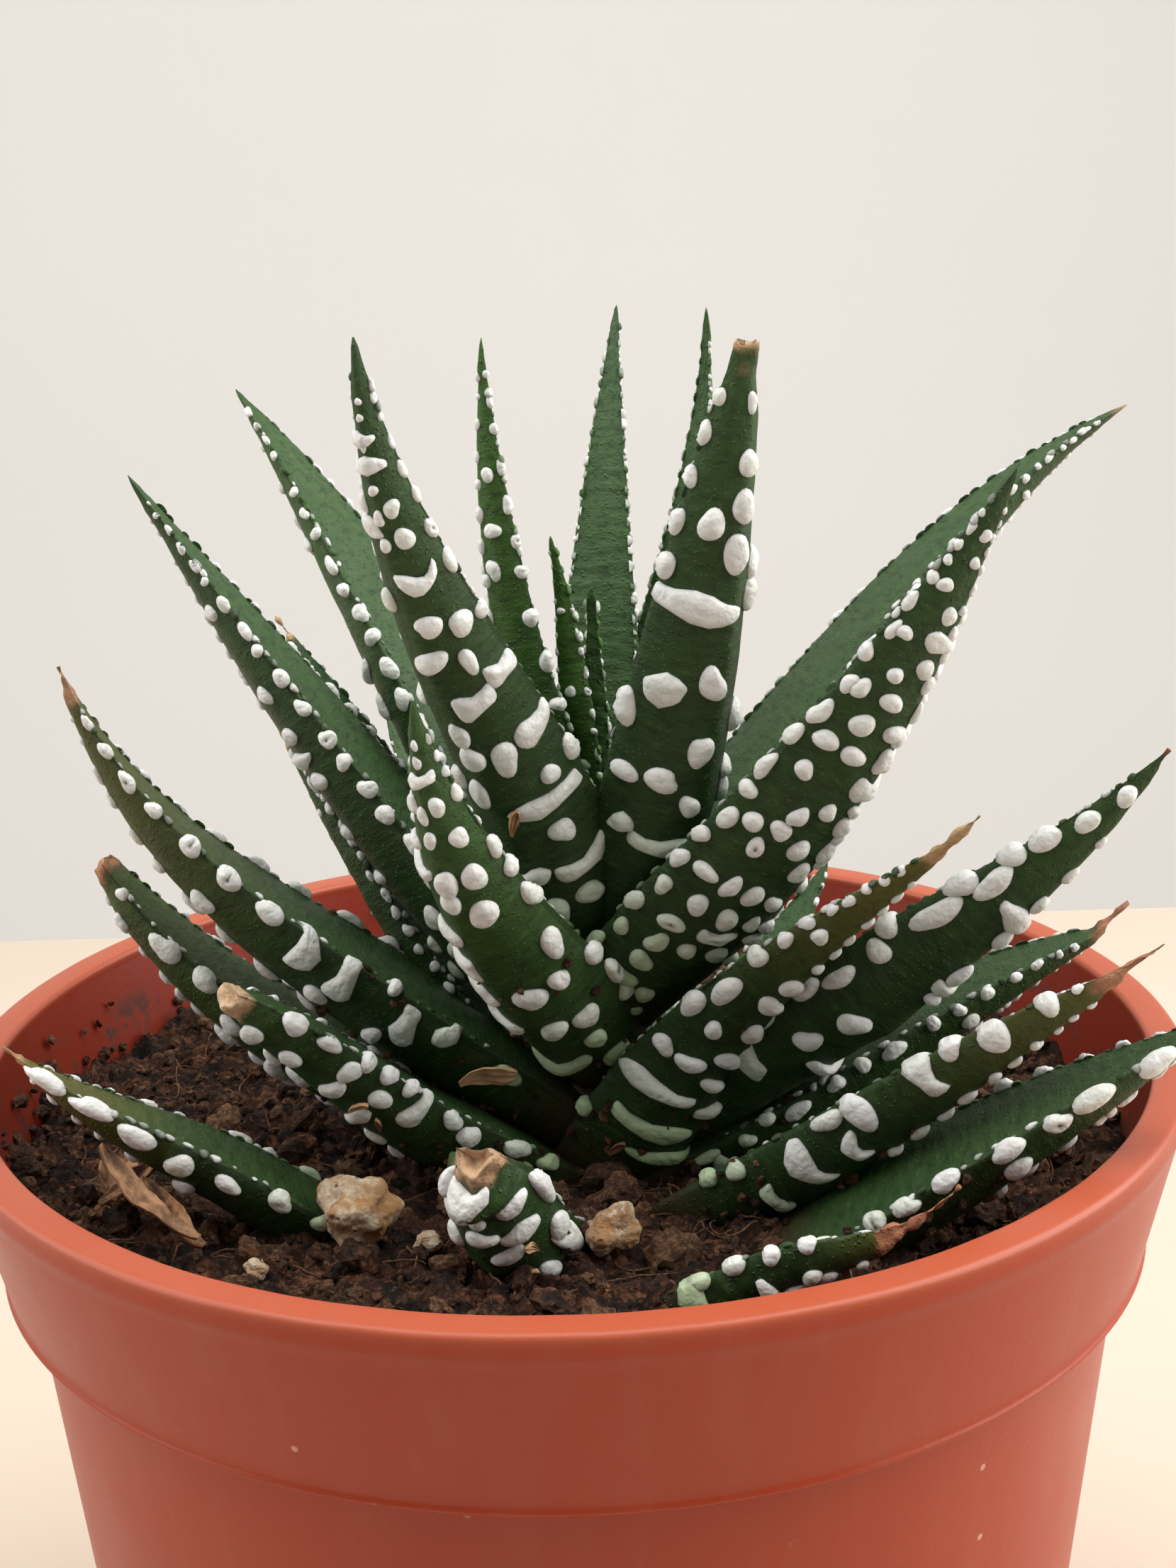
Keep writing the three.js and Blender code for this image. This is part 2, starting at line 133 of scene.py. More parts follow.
# The bars and large bumps that stand out on the nearest leaves.
# Each is (place along the leaf, place across it, half width in mm, half length in mm, bend if any).
# Places across run from -1 on the right margin, over 0 on the keel, to 1 on the left margin.
STANDOUTS = {
    1: [
        (0.395, -0.52, 3.1, 0.75, 0.3), (0.285, -0.55, 2.4, 0.75, 0.6), (0.295, -0.08, 1.2, 0.7),
        (0.5, -0.74, 1.8, 0.9, -0.2), (0.43, -0.62, 0.8, 0.75), (0.485, -0.3, 1.0, 1.35),
        (0.5, 0.0, 0.8, 1.1), (0.43, -0.98, 0.9, 1.0), (0.585, -0.75, 1.5, 0.75, 0.7),
        (0.57, -0.3, 1.6, 0.85, 0.5), (0.67, -0.6, 1.0, 0.8), (0.625, -0.45, 0.6, 0.95),
        (0.64, -0.02, 1.2, 0.85, 0.3), (0.685, -0.2, 1.0, 0.7), (0.735, -0.3, 1.3, 0.65, 0.8),
        (0.44, 0.12, 0.9, 1.3), (0.45, 0.4, 0.8, 1.2),
    ],
    4: [
        (0.49, -0.85, 2.1, 0.9, 0.8), (0.42, -0.8, 2.2, 0.85, 0.7), (0.36, -1.05, 0.8, 0.6),
        (0.44, -0.42, 0.9, 0.9), (0.31, -0.75, 1.8, 0.9, 0.6), (0.26, -0.9, 1.2, 0.7),
        (0.34, -0.4, 1.0, 0.8),
    ],
    5: [
        (0.82, -0.85, 0.95, 1.3), (0.73, -0.92, 0.8, 1.2),
    ],
    6: [
        (0.92, -0.15, 1.1, 0.9), (0.87, -0.95, 0.9, 0.9), (0.82, -0.35, 0.75, 0.9),
        (0.83, 0.1, 0.6, 0.9), (0.7, -0.75, 0.9, 0.8), (0.69, -0.35, 1.1, 0.8), (0.68, -1.05, 1.0, 0.7),
        (0.62, -1.0, 0.8, 0.7), (0.6, -0.68, 0.8, 0.85), (0.56, -1.0, 0.7, 0.6),
        (0.51, -0.82, 1.9, 0.65, 0.6), (0.59, -0.22, 1.3, 0.7), (0.43, -0.92, 0.7, 0.8),
        (0.37, -0.85, 1.0, 0.8, 0.3),
    ],
    7: [
        (0.88, -0.88, 0.55, 1.5), (0.76, -0.9, 0.6, 1.6), (0.64, -0.8, 0.75, 1.6),
        (0.52, -0.68, 1.05, 1.0), (0.47, -0.15, 1.2, 0.9), (0.4, -0.78, 0.6, 1.1),
    ],
    9: [
        (0.3, 0.3, 2.2, 0.8, 0.5), (0.39, 0.35, 2.0, 0.8, 0.7), (0.48, 0.3, 1.8, 0.8, 0.5),
        (0.57, 0.25, 1.3, 0.85, 0.4), (0.48, -0.75, 0.9, 1.4),
    ],
    10: [
        (0.92, 0.15, 1.9, 0.6, 0.4), (0.83, -0.5, 1.25, 0.9), (0.76, -0.95, 0.75, 1.7),
        (0.78, 0.4, 1.2, 0.85), (0.9, 0.66, 0.8, 1.0), (0.71, 0.02, 1.2, 0.7), (0.68, -0.45, 1.5, 0.75),
        (0.6, -0.22, 1.1, 0.7), (0.55, -0.82, 0.9, 1.2), (0.42, -0.8, 1.0, 1.6, 0.8),
        (0.6, 0.5, 1.2, 0.8, 0.2),
    ],
    11: [
        (0.27, 0.62, 3.3, 0.75, 0.5), (0.26, 0.0, 1.6, 0.7, -0.6), (0.19, 0.45, 3.6, 0.8, 0.6),
        (0.13, 0.2, 3.0, 0.6, 0.5), (0.35, 0.82, 0.85, 0.8), (0.35, 0.5, 1.15, 0.8),
        (0.32, 0.16, 0.9, 0.75), (0.43, 0.56, 0.7, 0.75), (0.38, 0.16, 1.2, 0.8),
        (0.45, 0.12, 0.9, 1.0), (0.44, 0.92, 0.7, 1.3), (0.5, 0.8, 0.85, 1.4), (0.52, 0.22, 1.1, 0.9),
        (0.57, 0.18, 0.9, 0.9), (0.58, 0.92, 0.7, 0.9),
    ],
    12: [
        (0.92, 0.5, 0.6, 0.8), (0.86, 0.7, 0.7, 0.9), (0.8, 0.9, 0.8, 1.2), (0.75, 0.98, 0.9, 1.1),
        (0.71, 0.75, 0.8, 1.6), (0.67, 0.95, 0.9, 1.2), (0.62, 0.8, 0.9, 1.9), (0.55, 0.98, 1.0, 0.9),
        (0.52, 0.8, 0.9, 0.9), (0.45, 0.8, 0.7, 1.3),
    ],
    14: [
        (0.81, 0.95, 0.9, 0.9), (0.71, 0.78, 1.3, 1.0, 0.3), (0.64, 1.0, 0.9, 0.95),
        (0.57, 0.82, 1.7, 1.0, 0.8), (0.45, 0.8, 1.5, 1.1), (0.4, 0.45, 1.2, 0.7, 0.3),
        (0.31, 0.6, 2.0, 1.0, 0.5), (0.22, 0.4, 1.5, 0.6, 0.7), (0.13, 0.1, 1.6, 0.5, 0.5),
    ],
    15: [
        (0.85, 0.92, 0.9, 1.3), (0.72, 0.95, 0.8, 1.5), (0.41, 1.0, 0.8, 1.0), (0.32, 0.98, 0.6, 1.1),
        (0.53, 0.6, 0.9, 1.1),
    ],
    17: [
        (0.635, 0.48, 3.0, 1.1, 0.5), (0.515, 0.6, 1.7, 0.95, -0.3), (0.535, 0.12, 0.95, 1.25),
        (0.37, 0.78, 1.1, 0.75), (0.375, 0.42, 1.35, 0.85, 0.2), (0.43, 0.12, 0.8, 1.3),
        (0.29, 0.7, 1.1, 0.6, -0.5), (0.34, 0.12, 0.7, 0.9), (0.265, 0.3, 2.3, 0.7, 0.6),
        (0.76, 0.45, 0.9, 1.1), (0.725, 0.05, 0.85, 1.5), (0.79, 0.0, 0.9, 1.1), (0.85, 0.0, 0.6, 1.0),
    ],
}


# ---- small helpers


def fuzz(points, size, seed=0.0):
    """Smooth noise between -1 and 1 at each point, with features of about this size."""
    shifted = np.asarray(points) / size + seed
    return np.array([noise.noise(Vector(p)) for p in shifted])


def smooth_step(x, low, high):
    """0 below low and 1 above high, with a smooth rise between."""
    t = np.clip((x - low) / (high - low), 0, 1)
    return t * t * (3 - 2 * t)


def unit(vectors):
    """Each vector at length 1."""
    vectors = np.asarray(vectors, float)
    return vectors / np.maximum(np.linalg.norm(vectors, axis=-1, keepdims=True), 1e-12)


def circle(count):
    """Angles evenly spaced round a circle."""
    return np.linspace(0, 2 * math.pi, count, endpoint=False)


def box(name):
    """The low and high corners of a CAD node's box."""
    return [np.array(corner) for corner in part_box(name)]


def put(thing):
    """Adds an object to the scene."""
    bpy.context.scene.collection.objects.link(thing)


def grid_faces(rows, columns, closed=True, start=0):
    """Quads between neighbouring rows of points. closed joins the last column to the first."""
    last = columns if closed else columns - 1
    row, column = np.meshgrid(np.arange(rows - 1), np.arange(last), indexing="ij")
    following = (column + 1) % columns
    corners = [row * columns + column, row * columns + following]
    corners += [(row + 1) * columns + following, (row + 1) * columns + column]
    return start + np.stack([c.ravel() for c in corners], axis=1)


def grid_border(rows, columns):
    """The points round the border of a grid, in order."""
    index = np.arange(rows * columns).reshape(rows, columns)
    return np.concatenate([index[:-1, 0], index[-1, :-1], index[1:, -1][::-1], index[0, 1:][::-1]])


def band_faces(upper, lower):
    """Quads between two closed loops of points."""
    return np.stack([upper, lower, np.roll(lower, -1), np.roll(upper, -1)], axis=1)


def tube_faces(rows, columns):
    """Faces for a closed tube whose rows of points are followed by the middles of its two ends."""
    ring = np.arange(columns)
    following = (ring + 1) % columns
    last = (rows - 1) * columns
    foot = np.stack([following, ring, np.full(columns, rows * columns)], axis=1)
    end = np.stack([last + ring, last + following, np.full(columns, rows * columns + 1)], axis=1)
    return [*grid_faces(rows, columns), *foot, *end]


class Piece:
    """Points, faces and named values per point, gathered before they become one mesh."""

    def __init__(self):
        self.points = []
        self.faces = []
        self.values = {}
        self.count = 0

    def add(self, points, faces, **values):
        points = np.asarray(points, float)
        for name in sorted(set(self.values) | set(values)):
            column = self.values.setdefault(name, [np.zeros(self.count)] if self.count else [])
            given = values.get(name, 0.0)
            column.append(np.broadcast_to(np.asarray(given, float), (len(points),)))
        self.points.append(points)
        self.faces.extend((np.asarray(f) + self.count).tolist() for f in faces)
        self.count += len(points)

    def build(self, name, material, slot, nodes=(), smooth=True):
        """Makes the mesh, which rides the root body and stands for the CAD nodes given."""
        mesh = bpy.data.meshes.new(name)
        mesh.from_pydata(np.vstack(self.points).tolist(), [], self.faces)
        for key, columns in self.values.items():
            attribute = mesh.attributes.new(key, "FLOAT", "POINT")
            attribute.data.foreach_set("value", np.concatenate(columns).astype(np.float32))
        mesh.polygons.foreach_set("use_smooth", [smooth] * len(mesh.polygons))
        mesh.materials.append(material)
        mesh.update()
        piece = bpy.data.objects.new(name, mesh)
        put(piece)
        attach(piece, "root")
        if nodes:
            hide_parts(*nodes)
        return piece


def node_triangles(name):
    """The corners of a CAD node's triangles."""
    mesh = NODES[name].data
    mesh.calc_loop_triangles()
    points = np.array([v.co for v in mesh.vertices])
    return points[np.array([t.vertices[:] for t in mesh.loop_triangles])]


def node_tree(name):
    triangles = node_triangles(name)
    corners = triangles.reshape(-1, 3)
    return BVHTree.FromPolygons(corners.tolist(), np.arange(len(corners)).reshape(-1, 3).tolist())


# ---- materials


class Shader:
    """A material's node tree, with short ways to add the nodes used here."""

    def __init__(self, name):
        self.material = bpy.data.materials.new(name)
        self.material.use_nodes = True
        self.nodes = self.material.node_tree.nodes
        self.links = self.material.node_tree.links
        self.surface = self.nodes["Principled BSDF"]
        self.place = self.nodes.new("ShaderNodeTexCoord").outputs["Object"]

    def join(self, source, socket):
        if isinstance(source, bpy.types.NodeSocket):
            self.links.new(source, socket)
        elif socket.type == "RGBA":
            socket.default_value = (*source, 1.0)
        else:
            socket.default_value = source

    def set(self, socket, source):
        self.join(source, self.surface.inputs[socket])

    def add(self, kind, inputs):
        """A new node with its inputs joined or set."""
        node = self.nodes.new("ShaderNode" + kind)
        for key, source in inputs.items():
            self.join(source, node.inputs[key])
        return node

    def value(self, name):
        """A value stored at each point of the mesh."""
        node = self.nodes.new("ShaderNodeAttribute")
        node.attribute_name = name
        return node.outputs["Fac"]

    def leafwise(self):
        """Coordinates that follow each leaf: metres along it, then metres around it."""
        node = self.add("CombineXYZ", {"X": self.value("along"), "Y": self.value("around")})
        return node.outputs["Vector"]

    def noise(self, size, detail=4.0, stretch=None, roughness=0.6, place=None):
        """Noise with features of this size in metres, pulled out on an axis where stretch is under 1."""
        place = place or self.place
        if stretch:
            place = self.add("Mapping", {"Scale": stretch, "Vector": place}).outputs["Vector"]
        inputs = {"Scale": 1 / size, "Detail": detail, "Roughness": roughness, "Vector": place}
        return self.add("TexNoise", inputs).outputs["Fac"]

    def cells(self, size):
        """Distance from the nearest of many scattered points, which are about this far apart."""
        return self.add("TexVoronoi", {"Scale": 1 / size, "Vector": self.place}).outputs["Distance"]

    def ramp(self, source, low, high, start=0.0, end=1.0):
        """A smooth change from start to end as the source goes from low to high."""
        limits = {"From Min": low, "From Max": high, "To Min": start, "To Max": end}
        node = self.add("MapRange", {"Value": source, **limits})
        node.interpolation_type = "SMOOTHSTEP"
        return node.outputs["Result"]

    def combine(self, kind, a, b):
        node = self.add("Math", {0: a, 1: b})
        node.operation = kind
        node.use_clamp = kind != "SUBTRACT"
        return node.outputs[0]

    def times(self, a, b):
        return self.combine("MULTIPLY", a, b)

    def plus(self, a, b):
        return self.combine("ADD", a, b)

    def mix(self, share, a, b):
        """A colour between a and b."""
        node = self.nodes.new("ShaderNodeMix")
        node.data_type = "RGBA"
        for socket, source in (("Factor", share), (6, a), (7, b)):
            self.join(source, node.inputs[socket])
        return node.outputs[2]

    def blend(self, share, a, b):
        """A number between a and b."""
        return self.add("Mix", {"Factor": share, 2: a, 3: b}).outputs[0]

    def finish(self, colour, roughness, specular=0.5):
        """The finished material."""
        self.set("Base Color", colour)
        self.set("Roughness", roughness)
        self.set("Specular IOR Level", specular)
        return self.material

    def bump(self, height, depth, strength=1.0):
        """Raises the surface by up to depth metres where height is large."""
        node = self.add("Bump", {"Distance": depth, "Strength": strength, "Height": height})
        self.set("Normal", node.outputs["Normal"])


def leaf_material():
    s = Shader("leaf_flesh")
    young = s.value("young")
    inner = s.value("inner")
    bump = s.value("bump")
    dry = s.value("dry")
    patches = s.noise(0.004)
    specks = s.ramp(s.cells(0.00042), 0.05, 0.3, 1.0, 0.0)
    dark = s.mix(patches, (0.008, 0.026, 0.004), (0.022, 0.06, 0.009))
    fresh_green_and_inner_light = s.mix(patches, (0.03, 0.09, 0.012), (0.065, 0.165, 0.024))
    green = s.mix(young, dark, fresh_green_and_inner_light)
    # The inner face takes a lighter green; the low leaves get less of it, which is painted shade.
    upper = s.mix(s.noise(0.0016, 5), (0.019, 0.053, 0.013), (0.045, 0.1, 0.028))
    green = s.mix(s.times(inner, 0.85), green, upper)
    green = s.mix(s.times(specks, 0.2), green, (0.15, 0.26, 0.09))
    weave = s.noise(0.0006, 5, (1.0, 0.3, 1.0), 0.65, s.leafwise())
    green = s.mix(s.ramp(weave, 0.35, 0.5, 0.55, 0.0), green, (0.004, 0.014, 0.004))
    green = s.mix(s.ramp(weave, 0.55, 0.75, 0.0, 0.35), green, (0.09, 0.19, 0.05))
    green = s.mix(s.value("olive"), green, s.mix(patches, (0.075, 0.062, 0.012), (0.13, 0.12, 0.02)))
    green = s.mix(s.value("base"), green, (0.035, 0.022, 0.008))
    fibres = s.noise(0.0007, 6)
    straw = s.mix(fibres, (0.16, 0.075, 0.03), (0.62, 0.42, 0.22))
    red = s.mix(fibres, (0.13, 0.02, 0.01), (0.5, 0.17, 0.09))
    pale = s.mix(fibres, (0.35, 0.2, 0.1), (0.8, 0.62, 0.42))
    dried = s.mix(s.value("rust"), straw, red)
    dried = s.mix(s.value("pale"), dried, pale)
    colour = s.mix(dry, green, dried)
    pearl = s.mix(s.noise(0.0011, 3), (0.58, 0.6, 0.58), (0.8, 0.81, 0.8))
    pearl = s.mix(s.value("tinge"), pearl, (0.3, 0.44, 0.2))
    pearl = s.mix(s.value("pit"), pearl, (0.12, 0.12, 0.09))
    stain = s.ramp(s.noise(0.0024, 5), 0.66, 0.78)
    pearl = s.mix(s.times(stain, 0.35), pearl, (0.4, 0.33, 0.24))
    white = s.ramp(bump, 0.06, 0.3)
    colour = s.mix(white, colour, pearl)
    skin = s.blend(dry, s.ramp(patches, 0.3, 0.7, 0.5, 0.62), 0.85)
    s.set("Subsurface Weight", s.blend(white, s.times(young, 0.15), 0.35))
    s.set("Subsurface Radius", (0.9, 1.0, 0.8))
    s.set("Subsurface Scale", 0.0006)
    fine = s.plus(s.times(weave, 0.7), s.times(dry, s.noise(0.0009, 5)))
    fine = s.plus(fine, s.times(specks, 0.4))
    s.bump(s.blend(white, fine, s.noise(0.0009, 2)), 0.0003, 0.9)
    return s.finish(colour, s.blend(white, skin, 0.42), 0.35)


def pot_material():
    s = Shader("pot_plastic")
    cloud = s.noise(0.02, 3)
    colour = s.mix(cloud, (0.3, 0.031, 0.0065), (0.34, 0.04, 0.01))
    streaks = s.noise(0.003, 4, (1.0, 1.0, 0.12))
    colour = s.mix(s.ramp(streaks, 0.45, 0.8, 0.0, 0.35), colour, (0.33, 0.075, 0.038))
    scuffs = s.ramp(s.noise(0.0035, 7, roughness=0.75), 0.66, 0.76)
    dots = s.ramp(s.cells(0.0052), 0.03, 0.06, 1.0, 0.0)
    spots = s.times(dots, s.ramp(s.noise(0.012, 2), 0.5, 0.62))
    colour = s.mix(s.times(scuffs, 0.3), colour, (0.56, 0.28, 0.2))
    colour = s.mix(s.times(spots, 0.6), colour, (0.7, 0.42, 0.33))
    # Painted highlight: the top of the rim, and a little way down each side, is lighter and paler.
    colour = s.mix(s.times(s.value("lip"), 0.6), colour, (0.4, 0.1, 0.05))
    # Painted shade: the inner wall, below the rim's top, is darkened to a deep red.
    colour = s.mix(s.times(s.value("inside"), 0.75), colour, (0.2, 0.022, 0.012))
    dirt = s.times(s.value("grime"), s.ramp(s.noise(0.004, 6, roughness=0.7), 0.48, 0.62))
    colour = s.mix(dirt, colour, (0.05, 0.022, 0.014))
    s.bump(s.blend(scuffs, s.noise(0.0006, 3), s.noise(0.0002, 2)), 0.00004, 0.5)
    roughness = s.blend(s.plus(scuffs, dirt), s.ramp(cloud, 0.3, 0.7, 0.34, 0.42), 0.7)
    return s.finish(colour, roughness, 0.36)


def soil_material():
    s = Shader("peat_soil")
    clumps = s.noise(0.0028, 8, roughness=0.75)
    grains = s.noise(0.0005, 6, roughness=0.8)
    shreds = s.noise(0.0012, 6, (0.3, 1.0, 1.0), 0.75)
    colour = s.mix(s.ramp(clumps, 0.4, 0.66), (0.005, 0.003, 0.002), (0.06, 0.022, 0.01))
    colour = s.mix(s.ramp(shreds, 0.5, 0.66, 0.0, 0.8), colour, (0.17, 0.07, 0.032))
    colour = s.mix(s.ramp(grains, 0.58, 0.7, 0.0, 0.6), colour, (0.22, 0.115, 0.06))
    colour = s.mix(s.ramp(grains, 0.3, 0.44, 0.85, 0.0), colour, (0.006, 0.004, 0.003))
    light = s.mix(grains, (0.07, 0.029, 0.013), (0.27, 0.15, 0.08))
    colour = s.mix(s.value("light"), colour, light)
    s.bump(s.plus(grains, s.noise(0.00025, 4)), 0.0004, 1.0)
    return s.finish(colour, s.ramp(grains, 0.3, 0.7, 0.75, 0.98), 0.25)


def stone_material():
    s = Shader("grit_stone")
    tone = s.noise(0.0022, 6, roughness=0.65)
    grain = s.noise(0.0004, 6, roughness=0.7)
    colour = s.mix(s.ramp(tone, 0.35, 0.65), (0.28, 0.15, 0.06), (0.56, 0.46, 0.33))
    colour = s.mix(s.ramp(grain, 0.5, 0.7, 0.0, 0.6), colour, (0.75, 0.68, 0.56))
    rusty = s.ramp(s.noise(0.0034, 4), 0.47, 0.6, 0.0, 0.85)
    colour = s.mix(rusty, colour, s.mix(grain, (0.16, 0.06, 0.014), (0.45, 0.24, 0.08)))
    pores = s.ramp(s.cells(0.0009), 0.08, 0.24, 1.0, 0.0)
    colour = s.mix(s.times(pores, 0.6), colour, (0.12, 0.06, 0.03))
    s.bump(s.combine("SUBTRACT", grain, pores), 0.00025, 0.9)
    return s.finish(colour, s.ramp(grain, 0.3, 0.7, 0.8, 0.98))


def litter_material():
    s = Shader("dry_leaf")
    streaks = s.noise(0.0009, 6, (1.0, 1.0, 0.35))
    colour = s.mix(s.ramp(streaks, 0.38, 0.66), (0.045, 0.019, 0.009), (0.3, 0.15, 0.07))
    colour = s.mix(s.value("light"), colour, s.mix(streaks, (0.33, 0.15, 0.065), (0.72, 0.5, 0.3)))
    s.bump(s.plus(streaks, s.noise(0.0003, 3)), 0.00016, 0.8)
    return s.finish(colour, s.ramp(streaks, 0.3, 0.7, 0.7, 0.9), 0.3)


def stem_material():
    s = Shader("stem_flesh")
    bark = s.noise(0.0012, 6, (1.0, 1.0, 3.0))
    colour = s.mix(s.ramp(bark, 0.3, 0.7), (0.03, 0.02, 0.009), (0.14, 0.1, 0.04))
    s.bump(bark, 0.0003, 0.8)
    return s.finish(colour, s.ramp(bark, 0.3, 0.7, 0.7, 0.9))


# ---- leaves


def section(triangles, point, normal):
    """The points where a plane cuts a closed mesh."""
    height = (triangles - point) @ normal
    cuts = []
    for a, b in ((0, 1), (1, 2), (2, 0)):
        crossed = height[:, a] * height[:, b] < 0
        share = height[crossed, a] / (height[crossed, a] - height[crossed, b])
        edge = triangles[crossed, b] - triangles[crossed, a]
        cuts.append(triangles[crossed, a] + share[:, None] * edge)
    return np.vstack(cuts)


def turned(vector, axis, angle):
    return np.array(Matrix.Rotation(angle, 3, Vector(axis)) @ Vector(vector))


def farthest(points, place):
    return points[np.linalg.norm(points - place, axis=1).argmax()]


def leaf_ends(corners):
    """A leaf's tip, which is its point farthest from the stem, and its foot, farthest from the tip."""
    low, high = box("stem")
    tip = farthest(corners, np.array([(low[0] + high[0]) / 2, (low[1] + high[1]) / 2, LEAF_ROOT]))
    return tip, farthest(corners, tip)


def leaf_roll(triangles, middles, tangents, level):
    """How far a leaf is rolled about its own length, from the widest lines across its middle part."""
    rolls = []
    for middle, tangent in list(zip(middles, tangents))[8:14]:
        cut = section(triangles, middle, tangent)
        apart = np.linalg.norm(cut[:, None] - cut[None], axis=2)
        a, b = np.unravel_index(apart.argmax(), apart.shape)
        wide = unit(cut[a] - cut[b])
        wide = wide if wide @ level > 0 else -wide
        rolls.append(math.atan2(wide @ np.cross(tangent, level), wide @ level))
    return float(np.median(rolls))


def measured(triangles, point, tangent, side):
    """A leaf's middle where a plane cuts it, its half width, and the rise of its outer and inner face."""
    cut = section(triangles, point, tangent)
    outer = np.cross(side, tangent)
    across = (cut - point) @ side
    out = (cut - point) @ outer
    right, left = cut[across.argmax()], cut[across.argmin()]
    middle = (right + left) / 2
    level = (middle - point) @ outer
    return middle, (across.max() - across.min()) / 2, out.max() - level, level - out.min()


class Leaf:
    """A leaf's centre line, frame and sizes, measured from its CAD solid, and its smooth surface."""

    def __init__(self, name):
        self.number = int(name[-2:])
        self.look = {**PLAIN_LEAF, **LEAF_LOOKS.get(self.number, {})}
        self.seed = self.number * 7.31
        self.random = np.random.default_rng(self.number)
        self.read_solid(node_triangles(name))
        self.narrow_tip()
        self.curl_tip()
        self.spread_spots()

    def read_solid(self, triangles):
        """Measures sections from the widest one to the tip, and draws smooth curves through them."""
        tip, foot = leaf_ends(triangles.reshape(-1, 3))
        axis = unit(tip - foot)
        middles = [section(triangles, foot + (tip - foot) * p, axis).mean(0) for p in SECTIONS]
        heading = unit((middles[-1] - middles[6]) * (1, 1, 0))
        level = np.array([-heading[1], heading[0], 0])
        tangents = unit(np.gradient(np.array(middles), axis=0))
        roll = leaf_roll(triangles, middles, tangents, level)
        rows = [measured(triangles, m, t, turned(level, t, roll)) for m, t in zip(middles, tangents)]
        line, widths, depths, hollows = (np.array(column) for column in zip(*rows))
        widest = int(widths.argmax())
        keep = slice(widest, None)
        places = SECTIONS[keep]
        fine = np.linspace(0, 1, 200)
        self.line = self.centre_line(fine, places, line[keep])
        steps = np.linalg.norm(np.diff(self.line, axis=0), axis=1)
        run = np.concatenate([[0], np.cumsum(steps)])
        self.length = run[-1]
        self.fine = run / run[-1]
        self.tangent = unit(np.gradient(self.line, axis=0))
        self.side = np.array([turned(level, t, roll) for t in self.tangent])
        self.outer = unit(np.cross(self.side, self.tangent))
        shrink = 0.9 + 0.1 * smooth_step(fine, 0, places[0] + 0.05)
        self.half = np.interp(fine, places, widths[keep]) * shrink
        self.depth = np.interp(fine, places, depths[keep]) * shrink
        self.hollow = np.interp(fine, places, hollows[keep])

    def centre_line(self, fine, places, line):
        """A smooth curve through the measured middles, carried on straight to the foot."""
        bends = [np.polyfit(places, line[:, k], 3) for k in range(3)]
        starts = [np.polyfit(places[:7], line[:7, k], 1) for k in range(3)]
        curve = np.stack([np.polyval(b, fine) for b in bends], axis=1)
        straight = np.stack([np.polyval(b, fine) for b in starts], axis=1)
        blend = smooth_step(fine, places[0] - 0.02, places[0] + 0.1)[:, None]
        return straight * (1 - blend) + curve * blend

    def narrow_tip(self):
        """Brings the leaf to a point, or only narrows it a little where the end has broken off."""
        if self.look["cut"]:
            narrowing = 1 - 0.25 * smooth_step(self.fine, 0.9, 1.0)
        else:
            least = 0.08 + 0.35 * self.look["rust"]
            narrowing = least + (1 - least) * np.clip((1 - self.fine) / 0.05, 0, 1) ** 0.8
        self.half = self.half * narrowing
        self.depth = self.depth * narrowing
        self.hollow = self.hollow * narrowing

    def spread_spots(self):
        """Matches angles round the leaf with places across its outer face, even in length."""
        self.angles = np.linspace(-0.5, math.pi + 0.5, 90)
        middle = self.surface(np.full(90, 0.45), self.angles)
        run = np.concatenate([[0], np.cumsum(np.linalg.norm(np.diff(middle, axis=0), axis=1))])
        edges = np.interp([0, math.pi], self.angles, run)
        self.spots = 2 * (run - edges[0]) / (edges[1] - edges[0]) - 1

    def curl_tip(self):
        """Bends a dried tip and shrivels it."""
        dry = self.look["dry"]
        sideways, up = self.look["curl"]
        bend = np.clip((self.fine - dry) / max(1 - dry, 1e-3), 0, 1)[:, None] ** 1.5
        sway = np.sin(bend * 4)
        self.line = self.line + self.side * (sideways * bend + 0.3 * sideways * sway) * MM
        self.line = self.line + np.array([0, 0, up * MM]) * bend
        if not self.look["cut"]:
            shrink = 1 - 0.45 * smooth_step(self.fine, dry - 0.01, dry + 0.4 * (1 - dry) + 0.001)
            self.half = self.half * shrink
            self.depth = self.depth * shrink

    def at(self, table, place):
        """What a table along the leaf says at a place."""
        if table.ndim == 1:
            return np.interp(place, self.fine, table)
        return np.stack([np.interp(place, self.fine, table[:, k]) for k in range(3)], axis=-1)

    def surface(self, place, angle):
        """Points on the leaf. angle is 0 and pi at the margins, and half of pi on the keel."""
        half, depth, hollow = (self.at(t, place) for t in (self.half, self.depth, self.hollow))
        cos, sin = np.cos(angle), np.sin(angle)
        ridge = 0.07 * np.exp(-((cos / 0.2) ** 2))
        out = np.where(sin > 0, depth * (np.abs(sin) ** 1.15 * 0.95 + ridge), -hollow * np.abs(sin) * 0.6)
        across = half * np.sign(cos) * np.abs(cos) ** 0.92
        return (
            self.at(self.line, place)
            + across[..., None] * self.at(self.side, place)
            + out[..., None] * self.at(self.outer, place)
        )

    def normals(self, place, angle):
        """The directions straight out of the leaf."""
        step = 0.004
        along = self.surface(place + step, angle) - self.surface(place - step, angle)
        around = self.surface(place, angle + 0.02) - self.surface(place, angle - 0.02)
        return unit(np.cross(along, around))

    def arc(self, place):
        """The length of the outer face across the leaf at a place."""
        points = self.surface(np.full(24, place), np.linspace(0, math.pi, 24))
        return np.linalg.norm(np.diff(points, axis=0), axis=1).sum()


